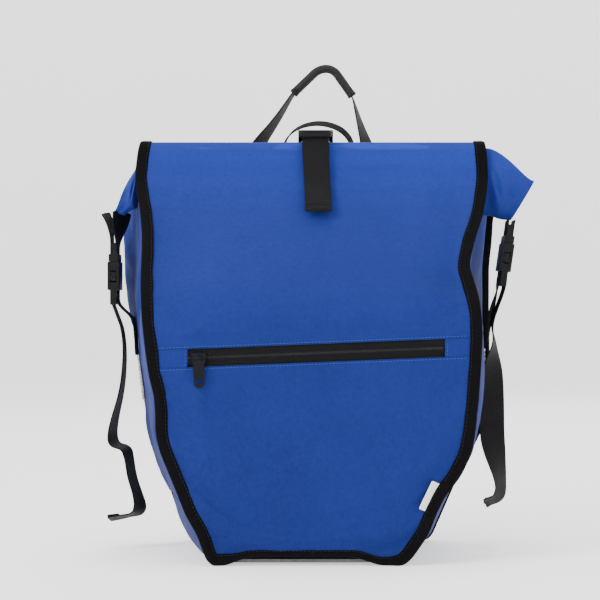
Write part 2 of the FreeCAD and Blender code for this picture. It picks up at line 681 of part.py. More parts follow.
def build_side_straps():
    """Each side strap is sewn to its side panel, turns round the grip bar and hangs as a free tail."""
    y = size("side_buckle_y")
    turn = wrap_radius(size("grip_bar"))
    tight = turn - 0.01
    left = [(-side_at(190) - 2.6, 190), (-side_at(220) - 2.6, 220)]
    left += wrap_marks("left", -bar_drop(), turn, -8, -8)
    left += [(-181, 212), (-180, 180), (-191, 110), (-176, 90), (-167, 44), (-178, 31), (-195, 29)]
    feature("left_side_strap", web_xz(left, [9, 6, tight, tight, 8, 20, 40, 8, 14, 8, 7], y))
    right = [(side_at(190) + 2.6, 190), (side_at(230) + 2.6, 230)]
    right += wrap_marks("right", -bar_drop(), turn, -10, -10)
    right += [(173.5, 216), (177, 190), (173.5, 140), (181.5, 68), (180.5, 46), (168, 38)]
    feature("right_side_strap", web_xz(right, [14, 8, tight, tight, 8, 20, 30, 60, 9, 5], y))


def build_roll_tabs():
    """Short folded webbing from each rolled end, and from the back panel, to its buckle plug."""
    turn = wrap_radius(size("plug_bar"))
    tight = turn - 0.01
    y = size("side_buckle_y")
    left = [(-184.8, 319)] + wrap_marks("left", 15.5, turn, -17, -18) + [(-188.2, 320)]
    feature("left_roll_tab", web_xz(left, [6, tight, tight, 6], y))
    right = wrap_marks("right", 15.5, turn, -5.5, -5.5)
    feature("right_roll_tab", web_xz(right, [tight, tight], y))
    bar = along_buckle("top", 15.5)
    out = size("bag_depth") / 2 + size("cloth") + 0.3 + size("web_thick") / 2
    low, high = bar.z - turn, bar.z + turn
    outer = out + size("web_thick") + 0.3
    points = [(out, 322), (out, low), (bar.y - turn, low)]
    points += [(bar.y - turn, high), (outer, high), (outer, 325)]
    feature("top_roll_tab", web_yz(points, [6, tight, tight, 8], bar.x))


def build_top_strap():
    """Sewn to the front panel, over the roll, round the grip bar and back over the front as a tail."""
    bar_y, bar_z = size("top_bar_y"), size("top_bar_z")
    turn = wrap_radius(size("grip_bar"))
    inner, inner_radii = shifted(*front_path(), 1.9)
    outer, outer_radii = shifted(*front_path(), 4.2)
    far, low, high = bar_y + turn, bar_z - turn, bar_z + turn
    points = [on_lean(inner, 338.0), inner[2], (inner[3][0], low), (far, low)]
    points += [(far, high), (outer[3][0], high), outer[2], on_lean(outer, 321.0)]
    radii = [inner_radii[1], 11.9, turn - 0.01, turn - 0.01, 14, outer_radii[1]]
    feature("top_strap", web_yz(points, radii, size("top_buckle_x")))


def on_lean(points, height):
    """The point of a side-view path's leaning run at that height."""
    (y0, z0), (y1, z1) = points[1], points[2]
    return (y0 + (y1 - y0) * (height - z0) / (z1 - z0), height)


def build_hang_loop():
    """The short arched loop of webbing at the top of the back panel."""
    half = size("web_thick") / 2
    y0 = size("bag_depth") / 2 + size("cloth") + 0.5
    points = [(-29, 322), (-29, 388), (-14, 415), (6.5, 419), (27, 415), (42, 388), (42, 322)]
    loop = strip_xz(points, [25, 14, 40, 14, 25], -half, half, y0, y0 + 9)
    feature("hang_loop", loop)


# ---- handle ----


def build_handle():
    """Lower straps on the latches, and the folding bow with its round core and its grip."""
    latch_y, latch_z, arm = size("latch_y"), size("latch_z"), size("latch_arm")
    half_turn = math.radians(size("latch_swing") / 2)
    rest_y, rest_z = latch_y - arm * math.cos(half_turn), latch_z - arm * math.sin(half_turn)
    drift = arm * (1 - math.cos(half_turn))
    bar = 1.75
    room = bar + drift / 2 + 0.35
    y = rest_y - drift / 2
    web = size("web_thick")
    wide = size("web_wide")
    fold, fold_gap = size("fold_height"), size("fold_gap")
    low = rest_z - bar - 0.4
    loops = []
    for sign in (-1, 1):
        x = sign * (size("hook_x") - size("lever_out"))
        across = (x - wide / 2, x + wide / 2)
        outer = slab(across, (y - room - web, y + room + web), (low - web, rest_z + 12))
        inner = slab((x - wide, x + wide), (y - room, y + room), (low, rest_z + 9))
        neck = slab(across, (y - web / 2, y + web / 2), (rest_z + 11, fold - fold_gap))
        loops.append(outer.cut(inner).fuse(neck).removeSplitter())
    feature("handle_lower_straps", Part.makeCompound(loops))
    foot = size("hook_x") - size("lever_out")
    route = [(-18.5, 446), (6, 469.5), (20.5, 472.5), (41, 443.5)]
    arch = Part.Wire(run_edges(route, [18, 14], in_xz(y)))
    start = Vector(route[0][0], y, route[0][1])
    tangent = arch.Edges[0].tangentAt(arch.Edges[0].FirstParameter)
    core = swept_rod(arch, start, tangent, size("grip_bore") - 0.15)
    legs = []
    for sign, top in ((-1, route[0]), (1, route[-1])):
        lower = Vector(sign * foot, y, fold + fold_gap)
        upper = Vector(top[0], y, top[1])
        legs.append(leg(lower, upper, wide, web))
    feature("handle_bow", core.fuse(legs[0]).fuse(legs[1]).removeSplitter())
    sleeve, bore = (swept_rod(arch, start, tangent, size(a)) for a in ("grip_radius", "grip_bore"))
    feature("handle_grip", sleeve.cut(bore))


def swept_rod(path, start, tangent, radius):
    circle = Part.Wire(Part.Circle(start, tangent, radius).toShape())
    return Part.Wire(path.Edges).makePipeShell([circle], True, False)


def leg(lower, upper, wide, web):
    """A flat strap from its fold to the grip, narrowing where it rolls up to go in."""
    y0, y1 = lower.y - web / 2, lower.y + web / 2
    narrow = size("grip_bore") - 1.0
    corners = [
        (lower.x - wide / 2, lower.z), (lower.x + wide / 2, lower.z),
        (upper.x + narrow, upper.z + 2), (upper.x - narrow, upper.z + 2),
    ]
    wire = Part.makePolygon([Vector(x, y0, z) for x, z in corners + corners[:1]])
    return Part.Face(wire).extrude(Vector(0, y1 - y0, 0))


# ---- rack hooks ----


def screw_places():
    """Four screws on the hook rail and two on the lower rail, as X and Z."""
    upper = (size("screw_spacing_wide") / 2, size("screw_spacing") / 2)
    places = [(sign * span, size("rail_height")) for span in upper for sign in (-1, 1)]
    lower = size("screw_spacing_low") / 2
    return places + [(sign * lower, size("anchor_height")) for sign in (-1, 1)]


def rail_face():
    """Y of the rails' inner face, just outside the back panel."""
    return size("bag_depth") / 2 + size("cloth") + 0.3


def rail_body(name, long, tall, height, corner):
    """A rail: a padded rectangle with rounded corners and its screw holes."""
    body = doc.addObject("PartDesign::Body", name + "_body")
    plane = next(f for f in body.Origin.OriginFeatures if f.Role == "XZ_Plane")
    sketch = body.newObject("Sketcher::SketchObject", name + "_outline")
    sketch.AttachmentSupport, sketch.MapMode = (plane, [""]), "FlatFace"
    wide, high = size(long) / 2, size(tall) / 2
    corners = [(-wide, -high), (wide, -high), (wide, high), (-wide, high)]
    for a, b in zip(corners, corners[1:] + corners[:1]):
        sketch.addGeometry(Part.LineSegment(Vector(*a, 0), Vector(*b, 0)))
    pad = body.newObject("PartDesign::Pad", name + "_pad")
    pad.Profile = sketch
    pad.setExpression("Length", "sizes.rail_thick")
    holes = body.newObject("Sketcher::SketchObject", name + "_screws")
    holes.AttachmentSupport, holes.MapMode = (plane, [""]), "FlatFace"
    for x, z in screw_places():
        if abs(z - size(height)) < 1:
            holes.addGeometry(Part.Circle(Vector(x, 0, 0), Vector(0, 0, 1), size("screw_radius") + 0.2))
    doc.recompute()
    pocket = body.newObject("PartDesign::Pocket", name + "_holes")
    pocket.Profile = holes
    pocket.Type = "ThroughAll"
    pocket.Midplane = True
    doc.recompute()
    fillet = body.newObject("PartDesign::Fillet", name + "_rounding")
    thick, edges = size("rail_thick"), enumerate(pocket.Shape.Edges, 1)
    fillet.Base = (pocket, [f"Edge{i}" for i, e in edges if abs(e.Length - thick) < 1e-6])
    fillet.Radius = corner
    body.Tip = fillet
    body.setExpression("Placement.Base.z", f"sizes.{height}")
    body.setExpression("Placement.Base.y", "sizes.bag_depth / 2 + sizes.cloth + 0.3 + sizes.rail_thick")
    return node(name, body)


def build_rails():
    rail_body("hook_rail", "rail_long", "rail_tall", "rail_height", 4.0)
    rail_body("anchor_rail", "anchor_rail_long", "anchor_rail_tall", "anchor_height", 3.0)
    screws = []
    face = rail_face() + size("rail_thick")
    for x, z in screw_places():
        start = size("bag_depth") / 2 - 0.5 - size("board_thick") - 3.0
        long = face - start + 0.1
        shank = Part.makeCylinder(size("screw_radius"), long, Vector(x, start, z), Vector(0, 1, 0))
        head = Part.makeCylinder(size("screw_head"), 2.4, Vector(x, face + 0.1, z), Vector(0, 1, 0))
        head = head.makeFillet(0.8, [e for e in head.Edges if e.BoundBox.YMin > face + 2])
        socket = Part.makeCylinder(1.5, 1.4, Vector(x, face + 1.2, z), Vector(0, 1, 0))
        nut = Part.makeCylinder(6.5, 2.0, Vector(x, start + 0.7, z), Vector(0, 1, 0))
        screws.append(shank.fuse(head).fuse(nut).cut(socket))
    feature("rail_screws", Part.makeCompound(screws))


def build_hook(side):
    """A rack hook: a foot on the rail, an arch over the tube, a lip, and two ears for the latch pin."""
    sign = -1 if side == "left" else 1
    x = sign * size("hook_x")
    half = size("hook_wide") / 2
    y, z, bore, wall = size("tube_y"), size("tube_z"), size("hook_bore"), size("hook_wall")
    face = rail_face() + size("rail_thick") + 0.2
    outer = bore + wall
    arch = bar_x(y, z, outer, x - half, x + half)
    foot = slab((x - half, x + half), (face, y), (z - 22, z + outer))
    lip = slab((x - half, x + half), (y, y + outer), (z - 6, z))
    solid = arch.fuse(foot).fuse(lip)
    throat = slab((x - half - 1, x + half + 1), (y - bore, y + bore), (z - 60, z))
    below = slab((x - half - 1, x + half + 1), (y - bore, y + outer + 1), (z - 60, z - 6.0))
    solid = solid.cut(bar_x(y, z, bore, x - half - 1, x + half + 1)).cut(throat).cut(below)
    pivot_y, pivot_z = size("latch_y"), size("latch_z")
    recess = slab((x - 9, x + 9), (pivot_y - 4.6, pivot_y + 20), (z - 60, pivot_z + 5.4))
    solid = solid.cut(recess)
    ear_cut = slab((x - half - 1, x + half + 1), (pivot_y - 5, y + outer), (z - 60, pivot_z - 4.2))
    solid = solid.cut(ear_cut)
    solid = solid.cut(bar_x(pivot_y, pivot_z, size("latch_pin") + 0.02, x - half - 1, x + half + 1))
    bridge_from, bridge_to = sorted((x - sign * 6.9, x - sign * (half + 0.5)))
    swing = bar_x(pivot_y, pivot_z, 8.8, bridge_from, bridge_to)
    swing = swing.cut(bar_x(pivot_y, pivot_z, 4.7, bridge_from, bridge_to))
    under = slab((x - half - 1, x + half + 1), (pivot_y - 10, pivot_y + 3), (pivot_z - 10, pivot_z - 0.5))
    solid = solid.cut(swing.common(under))
    for screw_x, screw_z in screw_places():
        if abs(screw_x - x) < half + 6 and abs(screw_z - z) < 30:
            start = Vector(screw_x, face - 1, screw_z)
            solid = solid.cut(Part.makeCylinder(size("screw_head") + 0.4, 3.2, start, Vector(0, 1, 0)))
    feature(f"hook_{side}", solid.removeSplitter())


def build_insert(x):
    """Half-round insert that fits the hook to a thinner tube."""
    half = size("hook_wide") / 2
    y, z = size("tube_y"), size("tube_z")
    ring = bar_x(y, z, size("hook_bore") - 0.1, x - half, x + half)
    ring = ring.cut(bar_x(y, z, size("tube_radius"), x - half - 1, x + half + 1))
    return ring.cut(slab((x - half - 1, x + half + 1), (y - 20, y + 20), (z - 20, z - 1.0)))


def build_latch(side):
    """A sprung latch: the tongue that shuts the throat, and the strap bar beside the hook."""
    sign = -1 if side == "left" else 1
    x = sign * size("hook_x")
    y, z, arm = size("latch_y"), size("latch_z"), size("latch_arm")
    half_turn = math.radians(size("latch_swing") / 2)
    bar_y, bar_z = y - arm * math.cos(half_turn), z - arm * math.sin(half_turn)
    lever, half = size("lever_out"), size("web_wide") / 2 + 1.0
    outside = size("hook_wide") / 2 + 0.5

    def inward(near, far):
        """Limits along X from distances towards the bag's middle."""
        return sorted((x - sign * near, x - sign * far))

    hub = bar_x(y, z, 3.4, *inward(-2.5, 8.6))
    tongue = slab((x - 7, x + 7), (y + 3.6, size("tube_y") + size("hook_bore") + 2.5), (z + 0.2, z + 4.4))
    neck = slab(inward(-2.5, 7), (y, y + 5), (z - 2.0, z + 3.2))
    shaft = bar_x(y, z, 2.4, *inward(outside, lever + half + 3))
    strap_bar = bar_x(bar_y, bar_z, 1.75, *inward(lever - half - 1, lever + half + 1))
    whole = hub.fuse(tongue).fuse(neck).fuse(shaft).fuse(strap_bar)
    for near, far in ((lever - half - 3, lever - half), (lever + half, lever + half + 3)):
        plate = Part.makeBox(far - near, arm, 4.8, Vector(inward(near, far)[0], -arm, -2.4))
        plate.rotate(Vector(), Vector(1, 0, 0), size("latch_swing") / 2)
        plate.translate(Vector(0, y, z))
        whole = whole.fuse(plate)
    depth = (y + 0.2, y + 2.2)
    whole = whole.fuse(slab(inward(7.4, outside + 2.6), depth, (z - 8.0, z - 5.2)))
    whole = whole.fuse(slab(inward(7.4, 8.6), depth, (z - 8.0, z)))
    whole = whole.fuse(slab(inward(outside, outside + 2.6), depth, (z - 8.0, z)))
    bore = bar_x(y, z, size("latch_pin") + 0.05, x - 15.2, x + 15.2)
    feature(f"latch_{side}", whole.cut(bore).removeSplitter())


def spring(side):
    """A torsion spring round the latch pin, beside the latch's hub."""
    sign = -1 if side == "left" else 1
    turns, pitch, radius, half = 4, 1.05, 2.5, 0.35
    helix = Part.makeHelix(pitch, turns * pitch, radius)
    corners = [(radius + a * half, 0, b * half) for a, b in ((-1, -1), (1, -1), (1, 1), (-1, 1), (-1, -1))]
    section = Part.makePolygon([Vector(*c) for c in corners])
    coil = Part.Wire(helix.Edges).makePipeShell([section], True, True)
    coil.rotate(Vector(), Vector(0, 1, 0), 90 * sign)
    coil.translate(Vector(sign * (size("hook_x") + 3.2), size("latch_y"), size("latch_z")))
    return coil


def build_hooks():
    xs = (-size("hook_x"), size("hook_x"))
    for side in ("left", "right"):
        build_hook(side)
        build_latch(side)
    feature("hook_inserts", Part.makeCompound([build_insert(x) for x in xs]))
    half = size("hook_wide") / 2
    pins = [bar_x(size("latch_y"), size("latch_z"), size("latch_pin"), x - half, x + half) for x in xs]
    feature("latch_pins", Part.makeCompound(pins))
    feature("latch_springs", Part.makeCompound([spring(side) for side in ("left", "right")]))


def build_anchor():
    """The lower hook: a block that slides along its rail, and a finger that swivels on it."""
    face, thick = rail_face(), size("rail_thick")
    z, tall = size("anchor_height"), size("anchor_rail_tall") / 2
    half = size("anchor_block") / 2
    gap = 0.3
    span_y = (face + thick + gap, face + thick + 6.5)
    block_shape = slab((-half, half), span_y, (z - tall - 4, z + tall + 4))
    for low, high in ((z - tall - 4, z - tall - gap), (z + tall + gap, z + tall + 4)):
        block_shape = block_shape.fuse(slab((-half, half), (face + gap, face + thick + 1), (low, high)))
    pin_start = face + thick + 6.4
    pin = Part.makeCylinder(4.0, 8.0, Vector(0, pin_start, z), Vector(0, 1, 0))
    cap = Part.makeCylinder(6.0, 1.8, Vector(0, pin_start + 7.9, z), Vector(0, 1, 0))
    feature("anchor_slider", block_shape.fuse(pin).fuse(cap).removeSplitter())
    y = pin_start + 0.4
    reach = size("anchor_reach")
    disc = Part.makeCylinder(9.5, 7.1, Vector(0, y, z), Vector(0, 1, 0))
    path = [(6.0, y + 3.6), (16.0, y + 3.6), (22.0, y + 17), (22.0 + reach * 0.4, y + 28)]
    wire = thick_wire(path, [8.0, 10.0], -3.0, 3.0, in_xy(z - 8))
    finger = Part.Face(wire).extrude(Vector(0, 0, 16))
    hole = Part.makeCylinder(4.05, 30, Vector(0, y - 5, z), Vector(0, 1, 0))
    above = Part.makeCylinder(6.5, 30, Vector(0, y + 7.2, z), Vector(0, 1, 0))
    feature("anchor_hook", disc.fuse(finger).cut(hole).cut(above).removeSplitter())


# ---- build, check and write ----


def check():
    """Stops if any object failed, or if a sub-part's shape is empty, not valid or has no solid."""
    for obj in doc.Objects:
        if {"Invalid", "Error"} & set(obj.State):
            raise RuntimeError(f"{obj.Name} failed: {obj.State}")
    for name, obj in nodes.items():
        shape = obj.Shape
        if shape.isNull() or not shape.isValid() or not shape.Solids:
            raise RuntimeError(f"{name} has no valid solid")
        if min(s.Volume for s in shape.Solids) <= 0:
            raise RuntimeError(f"{name} has a solid with no volume")


def write():
    os.makedirs(OUT, exist_ok=True)
    for name, obj in sorted(nodes.items()):
        obj.Shape.exportStep(f"{OUT}/{name}.step")
    print(f"{len(nodes)} sub-parts")


fill_sheet()
build_front()
build_back()
build_sides()
build_roll()
build_boards()
build_pocket()
build_label()
build_slider()
build_buckles()
build_side_straps()
build_roll_tabs()
build_top_strap()
build_hang_loop()
build_handle()
build_rails()
build_hooks()
build_anchor()
doc.recompute()
check()
write()
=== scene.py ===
"""Looks of the roll-top pannier bag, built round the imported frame. Metres, +Z up, the front along -Y."""

import bisect
import math

import bpy
import numpy as np
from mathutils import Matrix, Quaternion, Vector, noise


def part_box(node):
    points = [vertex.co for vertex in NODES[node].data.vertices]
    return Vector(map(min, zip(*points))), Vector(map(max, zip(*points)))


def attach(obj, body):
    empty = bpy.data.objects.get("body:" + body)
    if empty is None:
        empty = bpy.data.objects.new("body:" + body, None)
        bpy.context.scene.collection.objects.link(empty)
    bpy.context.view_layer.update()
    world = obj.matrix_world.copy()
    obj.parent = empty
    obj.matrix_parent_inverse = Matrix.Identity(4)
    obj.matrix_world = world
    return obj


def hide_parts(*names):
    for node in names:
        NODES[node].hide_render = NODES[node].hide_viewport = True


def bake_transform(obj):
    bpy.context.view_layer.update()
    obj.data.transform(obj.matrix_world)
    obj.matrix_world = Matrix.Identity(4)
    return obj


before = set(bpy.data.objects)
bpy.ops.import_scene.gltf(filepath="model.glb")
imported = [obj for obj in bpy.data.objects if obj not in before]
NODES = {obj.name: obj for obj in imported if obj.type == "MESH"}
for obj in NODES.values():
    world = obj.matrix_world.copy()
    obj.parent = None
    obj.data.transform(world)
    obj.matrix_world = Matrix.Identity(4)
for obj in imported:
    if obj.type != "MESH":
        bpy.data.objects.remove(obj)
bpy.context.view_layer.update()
MM = 0.001

# ---- sizes, in metres ----

Y_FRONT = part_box("front_panel_lower")[0].y + 0.0006
Y_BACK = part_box("back_panel")[1].y - 0.0006
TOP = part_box("front_panel_upper")[1].z - 0.0006
SIDE_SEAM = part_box("gusset_left")[0].z
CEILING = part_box("gusset_left")[1].z
HALF = {"front": (0.090, 0.1465, 0.1675), "back": (0.116, 0.170, 0.184)}
KNEE = 0.122
OUTLINE_TOP = 0.395
KNEE_RADIUS, BASE_RADIUS = 0.150, 0.014
ROLL_FRONT, ROLL_BACK, ROLL_FOOT = 0.008, 0.036, 0.344
LEAN_START, LEAN_END = 0.234, 0.356
RAIL_HEIGHTS = (0.287, 0.115)
CLOTH = 0.0012
BINDING = 0.0094
BACK_TOP, BACK_EDGE_Y, BACK_EDGE_Z = 0.345, 0.039, 0.356
SEWN = 0.0012
ZIP_X, ZIP_Z, ZIP_TILT, ZIP_HALF, ZIP_BAND = 0.003, 0.1912, math.radians(2.3), 0.1155, 0.0155
WEB, WEB_THICK = 0.025, 0.0014
STRAP_Y = 0.022
FLOOR_RADIUS, FLOOR_CORNER, FLOOR_WALL, FLOOR_Z = 4.6, 1.4, 3.4, -0.0004


# ---- routes ----


def rounded(points, radii, step=0.003):
    """Points along straight runs joined by tangent arcs."""
    points = [Vector(p) for p in points]
    out = [points[0]]

    def run_to(end):
        start, count = out[-1], max(1, round((end - out[-1]).length / step))
        out.extend(start.lerp(end, i / count) for i in range(1, count + 1))

    for before, corner, after, radius in zip(points, points[1:], points[2:], radii):
        a, b = (before - corner).normalized(), (after - corner).normalized()
        half = a.angle(b) / 2
        centre = corner + (a + b).normalized() * (radius / math.sin(half))
        back, turn = radius / math.tan(half), math.pi - 2 * half
        run_to(corner + a * back)
        arm, last = corner + a * back - centre, corner + b * back - centre
        axis = arm.cross(last).normalized()
        count = max(4, round(radius * turn / step))
        for i in range(1, count + 1):
            out.append(centre + Quaternion(axis, turn * i / count) @ arm)
    run_to(points[-1])
    return out


def softened(points, passes=3):
    """Corner cutting of a list of vectors of any length. The ends stay."""
    points = [Vector(p) for p in points]
    for _ in range(passes):
        cut = [points[0]]
        for p, q in zip(points, points[1:]):
            cut += [p.lerp(q, 0.25), p.lerp(q, 0.75)]
        points = cut + [points[-1]]
    return points


class Path:
    """A polyline that can be read at any distance along it."""

    def __init__(self, points):
        self.points = [p for i, p in enumerate(points) if not i or (p - points[i - 1]).length > 1e-7]
        self.marks = [0.0]
        for p, q in zip(self.points, self.points[1:]):
            self.marks.append(self.marks[-1] + (q - p).length)
        self.long = self.marks[-1]

    def at(self, s):
        s = min(max(s, 0.0), self.long)
        i = min(max(bisect.bisect_right(self.marks, s), 1), len(self.points) - 1)
        share = (s - self.marks[i - 1]) / (self.marks[i] - self.marks[i - 1])
        return self.points[i - 1].lerp(self.points[i], share)

    def tangent(self, s, reach=0.002):
        return (self.at(s + reach) - self.at(s - reach)).normalized()

    def spread(self, step):
        """Distances from one end to the other, about one step apart."""
        count = max(2, round(self.long / step))
        return [self.long * i / count for i in range(count + 1)]


def smooth(t):
    t = min(max(t, 0.0), 1.0)
    return t * t * (3 - 2 * t)


def hump(value, middle, reach):
    return math.exp(-(((value - middle) / reach) ** 2))


def span(start, end, count):
    return [start + (end - start) * i / (count - 1) for i in range(count)]


def angles(count):
    return [2 * math.pi * k / count for k in range(count)]


def squarer(value, power):
    """A cosine or sine drawn towards 1 or -1 by a power under 1."""
    return math.copysign(abs(value) ** power, value)


def ripple(x, y, z, size):
    """Smooth noise from -1 to 1 whose lumps are about that size."""
    return noise.noise(Vector((x, y, z)) / size)


# ---- the bag's surfaces ----


def side_outline(which):
    """Right half of a panel's outline, as heights and half widths."""
    base, knee, top = HALF[which]
    corners = [(0, 0, 0), (base, 0, 0), (knee, 0, KNEE), (top, 0, OUTLINE_TOP), (top + 0.002, 0, 0.43)]
    line = rounded(corners, [BASE_RADIUS, KNEE_RADIUS, 0.01], 0.0015)
    last = max(i for i, p in enumerate(line) if p.z < 1e-6)
    return line[last:]


OUTLINES = {which: side_outline(which) for which in HALF}


# How far the filled bag's edges stand outside their cut outlines: height, then outward, in millimetres.
EDGES = {
    ("front", -1): [(0, 2.6), (12, 1.5), (28, -0.2), (46, 2.0), (64, 0.5), (84, -0.4), (104, -1.4),
                    (120, -3.4), (136, -7.0), (152, -7.6), (172, -4.0), (190, -3.0), (215, -1.8),
                    (245, -1.9), (264, -2.0), (284, -3.2), (302, -3.4), (320, -2.2), (338, 0.6), (357, 2.8), (378, -1.2), (396, -6.0)],
    ("front", 1): [(0, -8.0), (12, -4.4), (28, -0.9), (48, -2.2), (64, -1.6), (80, 3.8), (98, 4.4),
                   (118, 1.1), (136, -1.1), (180, -1.3), (207, -2.0), (226, -4.4), (244, -8.0), (260, -13.0),
                   (270, -16.2), (280, -14.8), (300, -9.8), (318, -3.8), (338, -0.4), (357, 1.4),
                   (378, -1.6), (396, -5.0)],
    ("back", -1): [(0, 3.0), (30, 3.0), (60, 0.0), (100, -4.5), (134, -7.0), (170, -4.5), (240, 0.8),
                   (300, 3.8), (332, -1.5), (360, -9.0)],
    ("back", 1): [(0, 0), (160, -0.5), (215, -4.0), (270, -7.0), (320, -5.0), (360, -5.0)],
}
EDGES = {key: ([z * MM for z, _ in row], [out * MM for _, out in row]) for key, row in EDGES.items()}


def slack(which, sign, z):
    """The edge's outward shift at a height, averaged over a few millimetres."""
    heights, shifts = EDGES[which, sign]
    return sum(float(np.interp(z + step * MM, heights, shifts)) for step in (-4, -2, 0, 2, 4)) / 5


def half_width(which, sign, z):
    line = OUTLINES[which]
    width = np.interp(z, [p.z for p in line], [p.x for p in line])
    return float(width) + slack(which, sign, z)


def base_arch(x, y, z):
    """The bag stands on its corners: the middle of the base is lifted, most at the front."""
    across = smooth((0.074 - abs(x + 0.010)) / 0.030)
    depth = 0.7 - 0.3 * y / Y_BACK
    return 0.008 * across * depth * max(0.0, 1 - z / 0.07) ** 2


FRONT = Path(rounded(
    [(0, Y_FRONT, SEWN), (0, Y_FRONT, LEAN_START), (0, ROLL_FRONT, LEAN_END), (0, ROLL_FRONT, TOP),
     (0, ROLL_BACK, TOP), (0, ROLL_BACK, ROLL_FOOT)],
    [0.060, 0.025, 0.010, 0.010], 0.002))
BACK = Path(rounded(
    [(0, Y_BACK, SEWN), (0, Y_BACK, BACK_TOP), (0, BACK_EDGE_Y, BACK_EDGE_Z)], [0.018], 0.002))

# Soft dents and swells of the front: X, height, reach along X, reach along Z, depth.
DENTS = [
    (-0.126, 0.139, 0.016, 0.022, -0.0035),
    (0.140, 0.262, 0.030, 0.026, -0.0060),
    (0.112, 0.236, 0.034, 0.012, 0.0022),
    (0.120, 0.096, 0.020, 0.030, -0.0035),
    (-0.120, 0.338, 0.050, 0.006, -0.0016),
    (0.060, 0.300, 0.050, 0.020, -0.0012),
    (-0.070, 0.250, 0.030, 0.050, 0.0012),
    (-0.088, 0.030, 0.020, 0.030, -0.0025),
    (0.076, 0.020, 0.030, 0.014, -0.0035),
    (0.020, 0.378, 0.140, 0.003, -0.0009),
    (-0.118, 0.3845, 0.032, 0.0025, 0.0009),
    (0.062, 0.3680, 0.036, 0.0025, 0.0008),
]


def bulge(x, z, edge):
    """Height of the filled front over its flat cut. edge is the distance in from the binding."""
    if z > TOP - 0.004:
        return 0.0
    free = smooth(edge / 0.05)
    from_zip = z - ZIP_Z - math.tan(ZIP_TILT) * (x - ZIP_X)
    if from_zip < 0:
        swell = 0.0085 * math.sin(math.pi * smooth(z / (ZIP_Z - 0.007))) * free
    else:
        swell = 0.0028 * math.sin(math.pi * smooth((z - ZIP_Z - 0.007) / 0.11)) * free
    swell += 0.0008 * free * (1 - hump(from_zip, 0, 0.012))
    folds = sum(d * hump(x, cx, rx) * hump(z, cz, rz) for cx, cz, rx, rz, d in DENTS)
    puckers = 0.0007 * ripple(x, 0, z, 0.035) + 0.0003 * ripple(x, 5, z, 0.012)
    diagonal = 0.0012 * math.sin((x + 0.6 * z) / 0.021) * hump(z, 0.29, 0.045) * smooth((x - 0.02) / 0.08)
    height_ramp = smooth((0.385 - z) / 0.05)
    flat = 1 - 0.85 * hump(from_zip, 0, 0.018)
    return swell * height_ramp + (folds + puckers + diagonal) * smooth(edge / 0.012) * flat


def front_point(x, v, lift=0.0):
    """A point of the front panel: x across, v along its side view, lift above the cloth."""
    p, t = FRONT.at(v), FRONT.tangent(v)
    on_front = v < FRONT.long - 0.075
    sign = 1 if x > 0 else -1
    edge = half_width("front", sign, p.z) - abs(x)
    out = Vector((0, -t.z, t.y))
    high = (bulge(x, p.z, max(edge, 0)) if on_front else 0.0) + lift
    return Vector((x, p.y, p.z + base_arch(x, p.y, p.z))) + out * high


def back_point(x, v, lift=0.0):
    """A point of the back panel. Its lumps only stand outward, and it is flat behind the rails."""
    p, t = BACK.at(v), BACK.tangent(v)
    clear = 1 - sum(hump(p.z, rail, 0.022) for rail in RAIL_HEIGHTS)
    lumps = (0.0008 + 0.0010 * ripple(x, 3, p.z, 0.045) + 0.0004 * ripple(x, 6, p.z, 0.015)) * max(clear, 0)
    return Vector((x, p.y, p.z + base_arch(x, p.y, p.z))) + Vector((0, t.z, -t.y)) * (lift + max(lumps, 0))


def front_y(z):
    """Y of the front panel at that height, below the roll."""
    lean = (ROLL_FRONT - Y_FRONT) / (LEAN_END - LEAN_START)
    soft = math.log1p(math.exp((z - LEAN_START) / 0.008)) * 0.008
    return Y_FRONT + lean * soft


def back_y(z):
    """Y of the back panel at that height."""
    return float(np.interp(z, [p.z for p in BACK.points], [p.y for p in BACK.points]))


def side_reach(sign, z, share):
    """Half the bag's width between its front edge, at share 0, and its back edge, at share 1."""
    return half_width("front", sign, z) * (1 - share) + half_width("back", sign, z) * share


def low_puff(sign, z, share):
    """How far the left side stands out near the floor, halfway between its seams."""
    return 0.0065 * hump(z, 0.026, 0.026) * math.sin(math.pi * share) if sign < 0 else 0.0


def gusset_point(sign, y, z, lift=0.0):
    """A point of a side panel. It puffs out low down and folds in under the roll."""
    y0, y1 = front_y(z), back_y(z)
    share = min(max(0.0, (y - y0) / max(y1 - y0, MM)), 1.0)
    inside = smooth((y - y0) / 0.03) * smooth((y1 - y) / 0.03)
    if sign < 0:
        pleat = (0.0045 + 0.0045 * smooth((z - 0.19) / 0.08)) * hump(y, 0.058, 0.022) * smooth(z / 0.06)
    else:
        pleat = -0.012 * hump(y, 0.5 * (y0 + Y_BACK) - 0.006, 0.030) * smooth((z - 0.235) / 0.08)
    puff = 0.0012 * math.sin(math.pi * min(z / 0.26, 1))
    creases = 0.0011 * ripple(7 * sign, y, z * 0.7, 0.030) + 0.0006 * ripple(3 * sign, y, z, 0.011)
    seam = -0.0012 * hump(z, SIDE_SEAM, 0.004)
    depth = (pleat + puff + creases) * inside + seam + low_puff(sign, z, share)
    return Vector((sign * (side_reach(sign, z, share) - CLOTH / 2 + depth + lift), y, z))


# ---- mesh building ----


def add_mesh(name, points, faces, material, uvs=None):
    mesh = bpy.data.meshes.new(name)
    mesh.from_pydata([tuple(p) for p in points], [], faces)
    if uvs is not None:
        layer = mesh.uv_layers.new(name="web")
        for loop in mesh.loops:
            layer.data[loop.index].uv = uvs[loop.vertex_index]
    mesh.materials.append(material)
    for polygon in mesh.polygons:
        polygon.use_smooth = True
    obj = bpy.data.objects.new(name, mesh)
    bpy.context.scene.collection.objects.link(obj)
    return obj


